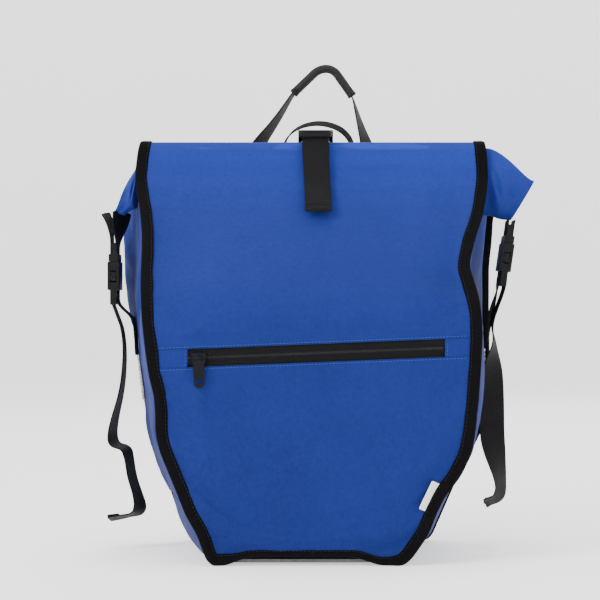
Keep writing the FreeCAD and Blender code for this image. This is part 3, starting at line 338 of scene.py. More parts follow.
def grid_faces(rows, columns, around=False, closed=False):
    """Quads of a grid of points. around joins its side columns, closed its first and last rows."""
    faces = []
    for i in range(rows if closed else rows - 1):
        for j in range(columns if around else columns - 1):
            a, b = i * columns, (i + 1) % rows * columns
            k = (j + 1) % columns
            faces.append((a + j, a + k, b + k, b + j))
    return faces


def refine(obj):
    modifier = obj.modifiers.new("Smooth", "SUBSURF")
    modifier.levels = modifier.render_levels = 1


def thicken(obj, thick):
    modifier = obj.modifiers.new("Thickness", "SOLIDIFY")
    modifier.thickness, modifier.offset = thick, -1


def sheet_of(name, rows, material, thick=CLOTH, flip=False, finer=True, uvs=None):
    """A sheet of cloth through rows of points, given its thickness."""
    faces = grid_faces(len(rows), len(rows[0]))
    if flip:
        faces = [f[::-1] for f in faces]
    obj = add_mesh(name, [p for row in rows for p in row], faces, material, uvs)
    if finer:
        refine(obj)
    thicken(obj, thick)
    return obj


def piece(obj, body, slot, *replaced):
    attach(obj, body)
    if replaced:
        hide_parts(*replaced)
    return obj


def ring_faces(rings, columns):
    """A tube of rings with closed ends."""
    faces = grid_faces(rings, columns, around=True)
    last = (rings - 1) * columns
    return faces + [tuple(range(columns))[::-1], tuple(range(last, last + columns))]


WEB_SECTION = [(-1.0, -0.35), (-0.985, -0.85), (-0.93, -1.0), (-0.45, -1.06), (0.0, -1.0), (0.45, -1.06),
               (0.93, -1.0), (0.985, -0.85), (1.0, -0.35), (1.0, 0.35), (0.985, 0.85), (0.93, 1.0),
               (0.45, 1.06), (0.0, 1.0), (-0.45, 1.06), (-0.93, 1.0), (-0.985, 0.85), (-1.0, 0.35)]


def ribbon(name, route, material, wide=WEB, thick=WEB_THICK, step=0.0025, passes=3, curl=0.0, tip=0.0):
    """Webbing along points (x, y, z, turn) in millimetres: turn is 0 where it is wide along Y, 90 along X.
    tip is how far its width climbs per metre of width."""
    marks = [(x * MM, y * MM, z * MM, turn * MM) for x, y, z, turn in route]
    line = softened(marks, passes)
    path = Path([p.to_3d() for p in line])
    turns = [p.w / MM for p in line]
    distances, lengths = [0.0], 0.0
    for p, q in zip(line, line[1:]):
        lengths += (q.to_3d() - p.to_3d()).length
        distances.append(lengths)
    points, uvs = [], []
    stations = path.spread(step)
    for s in stations:
        centre, along = path.at(s), path.tangent(s, 0.0015)
        angle = math.radians(float(np.interp(s, distances, turns)))
        side = Vector((math.sin(angle), math.cos(angle), tip))
        side = (side - along * side.dot(along)).normalized()
        out = along.cross(side).normalized()
        cup = curl * (1 + 0.5 * ripple(s, 2, 0, 0.03))
        for a, b in WEB_SECTION:
            points.append(centre + side * (a * wide / 2) + out * (b * thick / 2 + cup * a * a))
            uvs.append((a * wide / 2, s))
    obj = add_mesh(name, points, ring_faces(len(stations), len(WEB_SECTION)), material, uvs)
    refine(obj)
    return obj


def add_bead(points, faces, rings, arms):
    """Adds a closed bead: a (middle, swell) for each ring along it, and the arms of its section."""
    first = len(points)
    points += [middle + arm * swell for middle, swell in rings for arm in arms]
    faces += [tuple(first + i for i in face) for face in ring_faces(len(rings), len(arms))]


def stitches(name, line, normals, material, pitch=0.0036, long=0.0026, radius=0.00032):
    """A row of sewn stitches along a line of points, lying on the cloth."""
    path = Path(line)
    normal_x = [[n[i] for n in normals] for i in range(3)]
    points, faces = [], []
    sections = ((-0.5, 0.25), (-0.36, 0.9), (0.0, 1.0), (0.36, 0.9), (0.5, 0.25))
    for k in range(int(path.long / pitch)):
        s = (k + 0.5) * pitch
        centre, along = path.at(s), path.tangent(s)
        out = Vector([float(np.interp(s, path.marks, axis)) for axis in normal_x]).normalized()
        side = along.cross(out).normalized()
        rings = [(centre + along * (shift * long) + out * (radius * (swell - 0.8)), radius * swell)
                 for shift, swell in sections]
        add_bead(points, faces, rings, [side * math.cos(a) + out * math.sin(a) for a in angles(6)])
    return add_mesh(name, points, faces, material)


def row_on(surface, points, lift):
    """A line and its normals on a surface(x, v, lift), through (x, v) points."""
    line = [surface(x, v, lift) for x, v in points]
    normals = [(surface(x, v, lift + 0.001) - p).normalized() for (x, v), p in zip(points, line)]
    return line, normals


# ---- materials ----


class Shader:
    """A node material with short calls for the textures that the bag needs."""

    def __init__(self, name, colour, rough, gloss=0.3, **sockets):
        self.material = bpy.data.materials.new(name)
        self.material.use_nodes = True
        self.tree = self.material.node_tree
        self.bsdf = self.tree.nodes["Principled BSDF"]
        self.bsdf.inputs["Base Color"].default_value = (*colour, 1)
        self.bsdf.inputs["Roughness"].default_value = rough
        self.bsdf.inputs["Specular IOR Level"].default_value = gloss
        for socket, value in sockets.items():
            self.bsdf.inputs[socket.replace("_", " ")].default_value = value
        self.colour, self.normal = colour, None

    def node(self, kind, **inputs):
        node = self.tree.nodes.new("ShaderNode" + kind)
        for key, value in inputs.items():
            socket = node.inputs[key.replace("_", " ")]
            if isinstance(value, bpy.types.NodeSocket):
                self.tree.links.new(value, socket)
            else:
                socket.default_value = value
        return node

    def place(self, web=False, stretch=(1, 1, 1)):
        """Where a texture is read: the object's own metres, or across and along a strip."""
        if web:
            source = self.node("UVMap")
            source.uv_map = "web"
            vector = source.outputs["UV"]
        else:
            vector = self.node("TexCoord").outputs["Object"]
        return self.node("Mapping", Vector=vector, Scale=stretch).outputs["Vector"]

    def noise(self, scale, detail=3.0, where=None, roughness=0.5):
        return self.node("TexNoise", Vector=where or self.place(), Scale=scale, Detail=detail,
                         Roughness=roughness).outputs["Fac"]

    def bands(self, period, direction, where):
        wave = self.node("TexWave", Vector=where, Scale=math.pi / (10 * period))
        wave.bands_direction = direction
        return wave.outputs["Fac"]

    def math(self, operation, a, b):
        node = self.tree.nodes.new("ShaderNodeMath")
        node.operation = operation
        for socket, value in zip(node.inputs, (a, b)):
            if isinstance(value, bpy.types.NodeSocket):
                self.tree.links.new(value, socket)
            else:
                socket.default_value = value
        return node.outputs[0]

    def total(self, *shares):
        """The sum of (texture, weight) pairs."""
        terms = [value if weight == 1 else self.math("MULTIPLY", value, weight) for value, weight in shares]
        total = terms[0]
        for term in terms[1:]:
            total = self.math("ADD", total, term)
        return total

    def mapped(self, value, **limits):
        return self.node("MapRange", Value=value, **limits).outputs["Result"]

    def ramp(self, factor, low, high, dark, light):
        node = self.node("ValToRGB", Fac=factor)
        node.color_ramp.elements[0].position, node.color_ramp.elements[1].position = low, high
        node.color_ramp.elements[0].color = (*dark, 1)
        node.color_ramp.elements[1].color = (*light, 1)
        return node.outputs["Color"]

    def paint(self, factor, low, high, shade, tint):
        """Colour that runs from shade times the base to tint times the base."""
        dark = [c * s for c, s in zip(self.colour, shade)]
        light = [c * s for c, s in zip(self.colour, tint)]
        self.tree.links.new(self.ramp(factor, low, high, dark, light), self.bsdf.inputs["Base Color"])

    def scuff(self, factor, low, high):
        """Roughness that follows a texture."""
        self.tree.links.new(self.mapped(factor, To_Min=low, To_Max=high), self.bsdf.inputs["Roughness"])

    def bump(self, height, strength, distance):
        node = self.node("Bump", Height=height, Strength=strength, Distance=distance)
        if self.normal is not None:
            self.tree.links.new(self.normal, node.inputs["Normal"])
        self.normal = node.outputs["Normal"]
        self.tree.links.new(self.normal, self.bsdf.inputs["Normal"])


def woven(name, colour, rough, pitch, depth, patch=0.12, height_ramp=0.0, **sockets):
    """Plain-woven coated cloth: yarns both ways, uneven dye and creases. With a height weight above zero it
    also gets painted light: lighter the higher it stands, lighter again on the upright front of the roll, and
    painted highlight streaks along the top fold.
    """
    s = Shader(name, colour, rough, 0.08, **sockets)
    where = s.place()
    yarns = [s.bands(pitch, "X", where), s.bands(pitch * 1.1, "Z", where), s.bands(pitch, "Y", where)]
    weave = s.total(*zip(yarns, (0.5, 0.5, 0.3)))
    slub = s.noise(900, 2.0, s.place(stretch=(1, 1, 0.25)))
    mix = s.total((s.noise(7, 4.0), 0.55), (s.noise(260, 3.0), 0.45), (s.math("SUBTRACT", slub, 0.5), 0.25))
    if height_ramp:
        # Painted light: the colour is lighter the higher the cloth stands, and a step lighter on the upright
        # front of the roll, as if lit from above.
        height = s.node("SeparateXYZ", Vector=where).outputs["Z"]
        upright = s.mapped(height, From_Min=ROLL_FOOT - 0.02, From_Max=ROLL_FOOT + 0.03, To_Max=0.22)
        # Painted highlight: light streaks along the top fold of the roll, not real rubbing.
        from_fold = s.math("ABSOLUTE", s.math("SUBTRACT", height, TOP - 0.0042), 0.0)
        fold = s.mapped(from_fold, From_Max=0.0045, To_Min=1.0, To_Max=0.0)
        fold_highlight = s.mapped(s.noise(60, 3.0, s.place(stretch=(0.35, 1, 1.6))), From_Min=0.52, From_Max=0.62)
        mix = s.total((mix, 0.55), (height, height_ramp), (upright, 1), (s.math("MULTIPLY", fold, fold_highlight), 0.7))
        s.paint(mix, 0.15, 1.0, (1 - patch,) * 3, (1 + 1.6 * patch,) * 3)
    else:
        s.paint(mix, 0.3, 0.72, (1 - patch,) * 3, (1 + patch,) * 3)
    s.scuff(s.noise(45, 4.0), rough - 0.08, rough + 0.10)
    s.bump(s.noise(55, 4.0), 0.35, 0.0006)
    s.bump(slub, 0.25, 0.0002)
    s.bump(weave, 0.55, depth)
    return s.material


def webbing(name, colour, rough, rib, rows, gloss=0.1):
    """Woven strap: fine ribs along it, picks across it, a twill and some fuzz."""
    s = Shader(name, colour, rough, gloss, Sheen_Weight=0.02, Sheen_Roughness=0.4)
    where = s.place(web=True)
    yarns = [s.bands(rib, "X", where), s.bands(rows, "Y", where), s.bands(rib * 1.6, "DIAGONAL", where)]
    weave = s.total(*zip(yarns, (0.6, 0.4, 0.3)))
    fuzz = s.noise(1400, 2.0)
    s.paint(s.total((weave, 0.5), (fuzz, 0.4)), 0.25, 0.95, (0.6, 0.6, 0.6), (1.7, 1.7, 1.75))
    s.scuff(s.noise(120, 3.0), rough - 0.08, rough + 0.1)
    s.bump(fuzz, 0.3, 0.0002)
    s.bump(weave, 0.7, 0.00035)
    return s.material


def moulded(name, colour, rough, grain=900, **sockets):
    """Moulded plastic or rubber: fine grain, faint flow marks, rubbed high spots."""
    s = Shader(name, colour, rough, **sockets)
    s.paint(s.total((s.noise(18, 3.0), 0.5), (s.noise(300, 2.0), 0.5)), 0.3, 0.75, (0.75,) * 3, (1.45,) * 3)
    s.scuff(s.noise(90, 4.0), rough - 0.1, rough + 0.12)
    s.bump(s.noise(60, 3.0), 0.15, 0.0004)
    s.bump(s.noise(grain, 2.0), 0.3, 0.00012)
    return s.material


def metal(name, colour, rough):
    """Brushed metal with dull patches and fine scratches along X."""
    s = Shader(name, colour, rough, Metallic=1.0)
    brushed = s.noise(500, 3.0, s.place(stretch=(0.06, 1, 1)))
    s.paint(s.noise(40, 4.0), 0.3, 0.7, (0.8,) * 3, (1.15,) * 3)
    s.scuff(brushed, rough - 0.12, rough + 0.2)
    s.bump(brushed, 0.2, 0.00008)
    return s.material


def reflective():
    """Grey retroreflective patch with a fine honeycomb and scuffs."""
    s = Shader("reflective", (0.42, 0.43, 0.44), 0.34, Metallic=0.35)
    cells = s.node("TexVoronoi", Vector=s.place(), Scale=420.0)
    s.paint(s.noise(120, 4.0), 0.35, 0.65, (0.6,) * 3, (1.3,) * 3)
    s.scuff(s.noise(60, 3.0), 0.24, 0.5)
    s.bump(cells.outputs["Distance"], 0.5, 0.0003)
    return s.material


def satin_label():
    """Blank white satin ribbon: fine ribs, faint yellowing."""
    s = Shader("label", (0.78, 0.78, 0.80), 0.42, Sheen_Weight=0.3)
    where = s.place(web=True)
    ribs = s.total((s.bands(0.0006, "X", where), 1), (s.bands(0.0005, "Y", where), 1))
    s.paint(s.noise(90, 4.0), 0.3, 0.7, (0.92, 0.92, 0.9), (1.05, 1.05, 1.06))
    s.bump(ribs, 0.4, 0.00012)
    return s.material


BLUE = (0.0098, 0.0225, 0.160)
MAT = {
    # The 0.55 weights the painted light of woven: the blue is painted lighter higher up, on the roll front
    # and along the top fold.
    "blue": woven("blue_cloth", BLUE, 0.74, 0.0011, 0.00022, 0.5, 0.55,
                  Sheen_Weight=0.03, Sheen_Roughness=0.5),
    "black": woven("black_cloth", (0.012, 0.012, 0.014), 0.66, 0.0011, 0.00022, 0.2, Sheen_Weight=0.02),
    "lining": woven("lining", (0.10, 0.10, 0.11), 0.6, 0.0007, 0.0001, 0.1),
    "binding": webbing("binding", (0.0030, 0.0028, 0.0034), 0.75, 0.0009, 0.0009, 0.04),
    "web": webbing("webbing", (0.0050, 0.0050, 0.0058), 0.66, 0.0016, 0.0013, 0.10),
    "tape": webbing("zip_tape", (0.0060, 0.0060, 0.0066), 0.70, 0.0010, 0.0010, 0.06),
    "coil": moulded("zip_coil", (0.006, 0.006, 0.0065), 0.6),
    "thread_blue": webbing("thread_blue", (0.045, 0.11, 0.42), 0.5, 0.0004, 0.0006),
    "thread_black": webbing("thread_black", (0.016, 0.016, 0.018), 0.5, 0.0004, 0.0006),
    "grip": moulded("grip_rubber", (0.008, 0.008, 0.0085), 0.55, 1300, gloss=0.2),
    "buckle": moulded("buckle_plastic", (0.003, 0.003, 0.0033), 0.36, gloss=0.14),
    "hook": moulded("hook_plastic", (0.016, 0.016, 0.017), 0.42),
    "insert": moulded("insert_plastic", (0.16, 0.17, 0.18), 0.45),
    "board": moulded("board", (0.10, 0.10, 0.10), 0.5),
    "rail": metal("rail_metal", (0.10, 0.10, 0.105), 0.42),
    "steel": metal("steel", (0.52, 0.53, 0.55), 0.30),
    "zip_metal": metal("zip_metal", (0.014, 0.014, 0.016), 0.36),
    "reflective": reflective(),
    "label": satin_label(),
}

# ---- front of the bag ----


def zip_v(x, offset=0.0):
    """Distance up the front panel of a line along the zip."""
    return ZIP_Z + math.tan(ZIP_TILT) * (x - ZIP_X) + offset - SEWN


def front_rows(low, high, columns, rows):
    """Rows of the front panel between two lines low(x) and high(x)."""
    inset, typical_width = 0.0006, 0.152
    out = []
    for t in rows:
        row = []
        for u in columns:
            guess = u * typical_width
            v = low(guess) * (1 - t) + high(guess) * t
            wide = half_width("front", 1 if u > 0 else -1, FRONT.at(v).z) - inset
            x = u * wide
            v = low(x) * (1 - t) + high(x) * t
            row.append(front_point(x, v))
        out.append(row)
    return out


def settle(obj, held, cap, frames=18):
    """Lets a sheet of cloth relax with its held points fixed, each point within cap of its place."""
    rest = np.array([v.co for v in obj.data.vertices], float)
    group = obj.vertex_groups.new(name="held")
    for index, share in enumerate(held):
        if share > 0:
            group.add([index], share, "REPLACE")
    twin = obj.copy()
    twin.data = obj.data.copy()
    bpy.context.scene.collection.objects.link(twin)
    twin.modifiers.clear()
    cloth = twin.modifiers.new("Cloth", "CLOTH")
    settings = cloth.settings
    settings.quality, settings.mass = 6, 0.25
    settings.tension_stiffness = settings.compression_stiffness = 18
    settings.shear_stiffness, settings.bending_stiffness = 8, 0.9
    settings.vertex_group_mass = "held"
    settings.shrink_min = -0.012
    settings.effector_weights.gravity = 0.25
    cloth.point_cache.frame_start, cloth.point_cache.frame_end = 1, frames
    for number in range(1, frames + 1):
        bpy.context.scene.frame_set(number)
    shape = twin.evaluated_get(bpy.context.evaluated_depsgraph_get()).to_mesh()
    moved = np.array([v.co for v in shape.vertices], float)
    bpy.data.objects.remove(twin)
    bpy.context.scene.frame_set(1)
    shift = moved - rest
    long = np.maximum(np.linalg.norm(shift, axis=1), 1e-9)
    shift *= (np.minimum(long, cap) / long)[:, None]
    obj.data.vertices.foreach_set("co", (rest + shift).astype(np.float32).ravel())
    obj.data.update()
    obj.vertex_groups.clear()


def edge_hold(rows, columns, left_right=2, bottom=1, top=1):
    """1 at a grid's borders, where it is sewn, and 0 inside."""
    hold = []
    for i in range(rows):
        for j in range(columns):
            border = j < left_right or j >= columns - left_right or i < bottom or i >= rows - top
            hold.append(1.0 if border else 0.0)
    return hold


def build_front():
    """The front panel above and below the zip, and the cloth at the zip's ends."""
    near = [-1.0, -0.985, -0.96, -0.93]
    columns = near + span(-0.89, 0.89, 57) + [-u for u in near[::-1]]
    half_band = ZIP_BAND / 2
    rows = span(0, 0.965, 44) + [0.98, 0.99, 0.996, 1.0]
    lower = front_rows(lambda x: 0.0, lambda x: zip_v(x, -half_band), columns, rows)
    lower[-1] = [p + Vector((0, 0.0012, -0.0003)) for p in lower[-1]]
    obj = sheet_of("front_panel_lower_cloth", lower, MAT["blue"])
    settle(obj, edge_hold(len(rows), len(columns), 3, 2, 4), 0.003)
    piece(obj, "bag", "blue_cloth", "front_panel_lower")
    rows = [0.0, 0.004, 0.01, 0.02] + span(0.035, 1.0, 96)
    upper = front_rows(lambda x: zip_v(x, half_band), lambda x: FRONT.long, columns, rows)
    upper[0] = [p + Vector((0, 0.0012, 0.0003)) for p in upper[0]]
    obj = sheet_of("front_panel_upper_cloth", upper, MAT["blue"])
    settle(obj, edge_hold(len(rows), len(columns), 3, 4, 40), 0.003)
    piece(obj, "bag", "blue_cloth", "front_panel_upper")
    ends = []
    for sign in (-1, 1):
        close = ZIP_X + sign * (ZIP_HALF + 0.0003)
        out = []
        for offset in span(-half_band - 0.001, half_band + 0.001, 6):
            row = []
            for u in span(0, 1, 12):
                v = zip_v(close, offset)
                far = sign * (half_width("front", sign, FRONT.at(v).z) - 0.0006)
                x = close + (far - close) * u
                hollow = -0.0010 + 0.0006 * math.sin(math.pi * u)
                row.append(front_point(x, zip_v(x, offset), hollow if u else -0.0004))
            out.append(row)
        word = "left" if sign < 0 else "right"
        ends.append(sheet_of(f"zip_end_{word}", out, MAT["blue"], 0.0008, flip=sign < 0))
    piece(ends[0], "bag", "blue_cloth", "zip_end_tabs")
    piece(ends[1], "bag", "blue_cloth")


def edge_line(which, path):
    """A panel's edge as (x, v) points: down its left side, along the base and up its right side."""
    marks = [path.long * (i / 120) ** 1.6 for i in range(121)]
    left = [Vector((-half_width(which, -1, path.at(v).z), v, 0)) for v in marks[::-1]]
    right = [Vector((half_width(which, 1, path.at(v).z), v, 0)) for v in marks]
    base = [Vector((x, 0, 0)) for x in span(left[-1].x, right[0].x, 40)[1:-1]]
    return Path(left + base + right)


BINDING_SECTION = [(-0.17, -1.2), (-0.22, -0.2), (-0.17, 0.8), (-0.02, 1.3), (0.25, 1.45), (0.55, 1.35),
                   (0.8, 1.15), (0.94, 0.9), (1.0, 0.35), (0.98, -0.35), (0.8, -0.9), (0.4, -1.7),
                   (0.0, -1.8)]


def bind_edge(which, surface, path, flange):
    """Folded tape sewn round a panel's edge, with its stitches. flange widens its outer side on the right."""
    name = f"binding_{which}"
    line = edge_line(which, path)
    points, uvs, seam = [], [], []
    stations = line.spread(0.004)
    for s in stations:
        at, along = line.at(s), line.tangent(s, 0.006)
        inward = Vector((-along.y, along.x))
        low = smooth((0.03 - at.y) / 0.03) * smooth((0.085 - abs(at.x)) / 0.02)
        wide = BINDING * (1 + 0.07 * ripple(s, 1, 0, 0.02) - 0.3 * low)
        crown = 1 + 0.25 * ripple(s, 4, 0, 0.008) + 0.15 * ripple(s, 8, 0, 0.003)
        stand = 1 + (flange - 1) * smooth(at.x / 0.1) * smooth((at.y - 0.05) / 0.08)
        for a, b in BINDING_SECTION:
            a *= stand if a < 0 else 1
            v = at.y + inward.y * a * wide
            p = surface(at.x + inward.x * a * wide, max(v, 0.0), b * MM * (crown if b > 0 else 1.0))
            p.z += min(v, 0.0)
            points.append(p)
            uvs.append((a * wide, s))
        seam.append((at.x + inward.x * 0.80 * wide, max(at.y + inward.y * 0.80 * wide, 0.0)))
    faces = ring_faces(len(stations), len(BINDING_SECTION))
    obj = add_mesh(name + "_tape", points, faces, MAT["binding"], uvs)
    refine(obj)
    piece(obj, "bag", "binding", name)
    thread = stitches(name + "_stitches", *row_on(surface, seam, 0.0015), MAT["thread_black"])
    piece(thread, "bag", "binding")


def build_zip():
    """Two woven tapes, the coil's teeth and the rows of stitches that hold the zip."""
    half_band = ZIP_BAND / 2
    tapes = []
    for sign in (-1, 1):
        rows = []
        for offset in (0.0004, 0.0014, 0.0022, 0.003, 0.0052, 0.0068, 0.0095):
            lift = -0.0013 - (0.0006 if offset > 0.006 else 0) + (0.0007 if 0.001 < offset < 0.0025 else 0)
            xs = span(ZIP_X - ZIP_HALF - 0.0006, ZIP_X + ZIP_HALF + 0.0006, 90)
            rows.append([front_point(x, zip_v(x, sign * offset), lift) for x in xs])
        uvs = [(i * 0.0014, j * 0.0026) for i in range(len(rows)) for j in range(len(rows[0]))]
        name = "zip_tape_" + ("lower" if sign < 0 else "upper")
        tapes.append(sheet_of(name, rows, MAT["tape"], 0.0006, sign < 0, False, uvs))
    piece(tapes[0], "bag", "zip_tape", "zip_tapes")
    piece(tapes[1], "bag", "zip_tape")
    build_teeth()
    for word, offset in (("lower", -half_band - 0.0022), ("upper", half_band + 0.0022)):
        edge = [half_width("front", s, ZIP_Z) - BINDING for s in (-1, 1)]
        marks = [(x, zip_v(x, offset)) for x in span(-edge[0], edge[1], 120)]
        blue_seam(f"zip_seam_{word}", marks, 0.0001)
    for word, sign in (("left", -1), ("right", 1)):
        x = ZIP_X + sign * (ZIP_HALF + 0.0025)
        marks = [(x, zip_v(x, offset)) for offset in span(-half_band, half_band, 12)]
        blue_seam(f"zip_bar_{word}", marks, -0.0008)


def blue_seam(name, marks, lift):
    """Blue stitches on the front panel, through (x, v) marks."""
    seam = stitches(name, *row_on(front_point, marks, lift), MAT["thread_blue"], 0.0032, 0.0023)
    piece(seam, "bag", "blue_cloth")


def build_teeth():
    """The coil: one oval tooth after another, leaning to alternate sides."""
    pitch, half = 0.00125, 0.0016
    points, faces = [], []
    sections = ((-1.0, 0.35), (-0.7, 0.95), (0.0, 1.1), (0.7, 0.95), (1.0, 0.35))
    arms = [Vector((math.cos(a) * 0.00052, -math.sin(a) * 0.0007, 0)) for a in angles(6)]
    for k in range(int(2 * ZIP_HALF / pitch)):
        x = ZIP_X - ZIP_HALF + (k + 0.5) * pitch
        shift = 0.0003 * (1 if k % 2 else -1)
        rings = [(front_point(x, zip_v(x, t * half + shift), -0.0010), swell) for t, swell in sections]
        add_bead(points, faces, rings, arms)
    piece(add_mesh("zip_coil_teeth", points, faces, MAT["coil"]), "bag", "zip_coil", "zip_coil")


def build_label():
    """A blank ribbon label, folded double and caught in the seam."""
    lo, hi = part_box("label_tag")
    middle, lean = (lo + hi) / 2 - Vector((0, 0, 0.0040)), math.radians(25)
    points, uvs = [], []
    across, down = span(-0.0032, 0.0095, 10), span(-0.0140, 0.0140, 16)
    for b in down:
        for a in across:
            free = smooth((0.0045 - a) / 0.007)
            curl = 0.0003 + (0.0020 + 0.0007 * math.sin(b / 0.005)) * free
            x = middle.x + 0.002 + a * math.cos(lean) + b * math.sin(lean)
            z = middle.z - a * math.sin(lean) + b * math.cos(lean)
            points.append(front_point(x, z - SEWN, curl))
            uvs.append((a, b))
    tag = add_mesh("label_blank", points, grid_faces(len(down), len(across)), MAT["label"], uvs)
    thicken(tag, 0.0005)
    refine(tag)
    piece(tag, "bag", "label", "label_tag")


# ---- sides, base and back ----


def build_sides():
    for sign, word in ((-1, "left"), (1, "right")):
        rows = []
        for z in span(SIDE_SEAM - 0.001, CEILING + 0.004, 62):
            y0 = front_y(z) + 0.001
            rows.append([gusset_point(sign, y, z) for y in span(y0, back_y(z) - 0.0012, 34)])
        cloth = sheet_of(f"gusset_{word}_cloth", rows, MAT["blue"], flip=sign < 0)
        lo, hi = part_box("reflectors")
        hold = edge_hold(62, 34, 2, 2, 2)
        for index, vertex in enumerate(cloth.data.vertices):
            away = max(lo.y - vertex.co.y, vertex.co.y - hi.y, lo.z - vertex.co.z, vertex.co.z - hi.z)
            hold[index] = max(hold[index], smooth((0.016 - away) / 0.008))
        settle(cloth, hold, 0.0025)
        piece(cloth, "bag", "blue_cloth", f"gusset_{word}")
        patch = []
        for z in span(lo.z, hi.z, 14):
            patch.append([gusset_point(sign, y, z, 0.0012) for y in span(lo.y, hi.y, 10)])
        strip = sheet_of(f"reflector_{word}", patch, MAT["reflective"], 0.0007, flip=sign < 0)
        piece(strip, "bag", "reflective", *(["reflectors"] if sign < 0 else []))
        border = [(lo.y + 0.002, lo.z + 0.002), (hi.y - 0.002, lo.z + 0.002), (hi.y - 0.002, hi.z - 0.002),
                  (lo.y + 0.002, hi.z - 0.002), (lo.y + 0.002, lo.z + 0.002)]
        ring = rounded([(y, z, 0) for y, z in border], [0.001] * 3, 0.002)
        line = [gusset_point(sign, p.x, p.y, 0.0013) for p in ring]
        thread = stitches(f"reflector_{word}_stitches", line, [(sign, 0, 0)] * len(line), MAT["thread_black"])
        piece(thread, "bag", "reflective")
        for offset, tag in ((0.0035, "upper"), (-0.0035, "lower")):
            ys = span(Y_FRONT + 0.012, Y_BACK - 0.012, 40)
            line = [side_skin(sign, y, SIDE_SEAM + offset) + Vector((sign * 0.0003, 0, 0)) for y in ys]
            thread = stitches(f"seam_{word}_{tag}", line, [(sign, 0, 0)] * len(line), MAT["thread_blue"])
            piece(thread, "bag", "blue_cloth")


def side_skin(sign, y, z):
    """The side's outer skin above or below the seam of the base."""
    return gusset_point(sign, y, z) if z > SIDE_SEAM else wall_point(sign, y, z)


def wall_point(sign, y, z):
    """A point of the bottom panel's upright part, below the side seam."""
    share = (y - Y_FRONT) / (Y_BACK - Y_FRONT)
    return Vector((sign * (side_reach(sign, z, share) - CLOTH / 2 + low_puff(sign, z, share)), y, z))


def build_base():
    """The bottom panel: from one side seam down, under the bag and up to the other."""
    ends = {}
    for which in ("front", "back"):
        right = [Vector((half_width(which, 1, p.z), 0, p.z)) for p in OUTLINES[which] if p.z < SIDE_SEAM]
        left = [Vector((-half_width(which, -1, p.z), 0, p.z)) for p in OUTLINES[which] if p.z < SIDE_SEAM]
        right.append(Vector((half_width(which, 1, SIDE_SEAM), 0, SIDE_SEAM)))
        left.append(Vector((-half_width(which, -1, SIDE_SEAM), 0, SIDE_SEAM)))
        ends[which] = Path(left[::-1] + right)
    rows = []
    for s in span(0, 1, 110):
        a, b = (ends[w].at(s * ends[w].long) for w in ("front", "back"))
        row = []
        for y in span(Y_FRONT + 0.0008, Y_BACK - 0.0008, 26):
            p = a.lerp(b, (y - Y_FRONT) / (Y_BACK - Y_FRONT))
            inside = smooth((y - Y_FRONT) / 0.02) * smooth((Y_BACK - y) / 0.02)
            creases = 0.0012 * ripple(p.x, y, p.z, 0.03) * inside
            if p.x < 0:
                p.x -= low_puff(-1, p.z, (y - Y_FRONT) / (Y_BACK - Y_FRONT)) * smooth((-p.x - 0.08) / 0.02)
            z = max(p.z + base_arch(p.x, y, p.z) + creases * 0.6, 0.0)
            row.append(Vector((p.x * (1 + creases), y, z)))
        rows.append(row)
    piece(sheet_of("bottom_panel_cloth", rows, MAT["blue"]), "bag", "blue_cloth", "bottom_panel")


def build_back():
    """The back panel, and the front pocket's lining."""
    columns = span(-1, 1, 60)
    inset = 0.0008
    rows = []
    for v in span(0, BACK.long, 70):
        z = BACK.at(v).z
        wide = {sign: half_width("back", sign, z) - inset for sign in (-1, 1)}
        rows.append([back_point(u * wide[1 if u > 0 else -1], v) for u in columns])
    piece(sheet_of("back_panel_cloth", rows, MAT["black"], flip=True), "bag", "black_cloth", "back_panel")
    lo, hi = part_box("pocket_lining")
    y = (lo.y + hi.y) / 2
    rows = []
    for z in span(lo.z, hi.z, 30):
        wide = min(half_width("front", 1, z), half_width("front", -1, z)) - 0.013
        xs = span(-wide, wide, 40)
        rows.append([Vector((x, y + 0.0012 * ripple(x, 0, z, 0.03), z)) for x in xs])
    piece(sheet_of("pocket_lining_cloth", rows, MAT["lining"], 0.0005), "bag", "lining", "pocket_lining")


# ---- the rolled top ----


def build_roll():
    """Turns of stiff cloth inside the fold, and the two folded ends."""
    lo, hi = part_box("roll_top")
    mid_y, mid_z = (lo.y + hi.y) / 2, (lo.z + hi.z) / 2
    reach_y, reach_z = (hi.y - lo.y) / 2, (hi.z - lo.z) / 2
    turns, marks = 3.2, 130
    spiral = []
    for i in range(marks):
        t = i / (marks - 1)
        angle = 2 * math.pi * turns * t + 0.6
        y = mid_y + reach_y * (1 - 0.68 * t) * squarer(math.cos(angle), 0.62)
        z = mid_z + reach_z * (1 - 0.35 * t) * squarer(math.sin(angle), 0.62)
        spiral.append((y, z))
    rows = []
    for x in span(lo.x + 0.001, hi.x - 0.001, 70):
        wave = 0.0006 * ripple(x, 0, 0, 0.03)
        rows.append([Vector((x, y + wave, z + 0.0004 * ripple(x, y, z, 0.02))) for y, z in spiral])
    roll = sheet_of("roll_turns", rows, MAT["blue"], 0.001, finer=False)
    piece(roll, "bag", "blue_cloth", "roll_top")
    ear("right", 1, (0.1685, 0.3525), 0.0325, (0.2030, 0.3345), 0.0222, 31.0)
    ear("left", -1, (0.1670, 0.3535), 0.0165, (0.1852, 0.3215), 0.0085, 76.0)


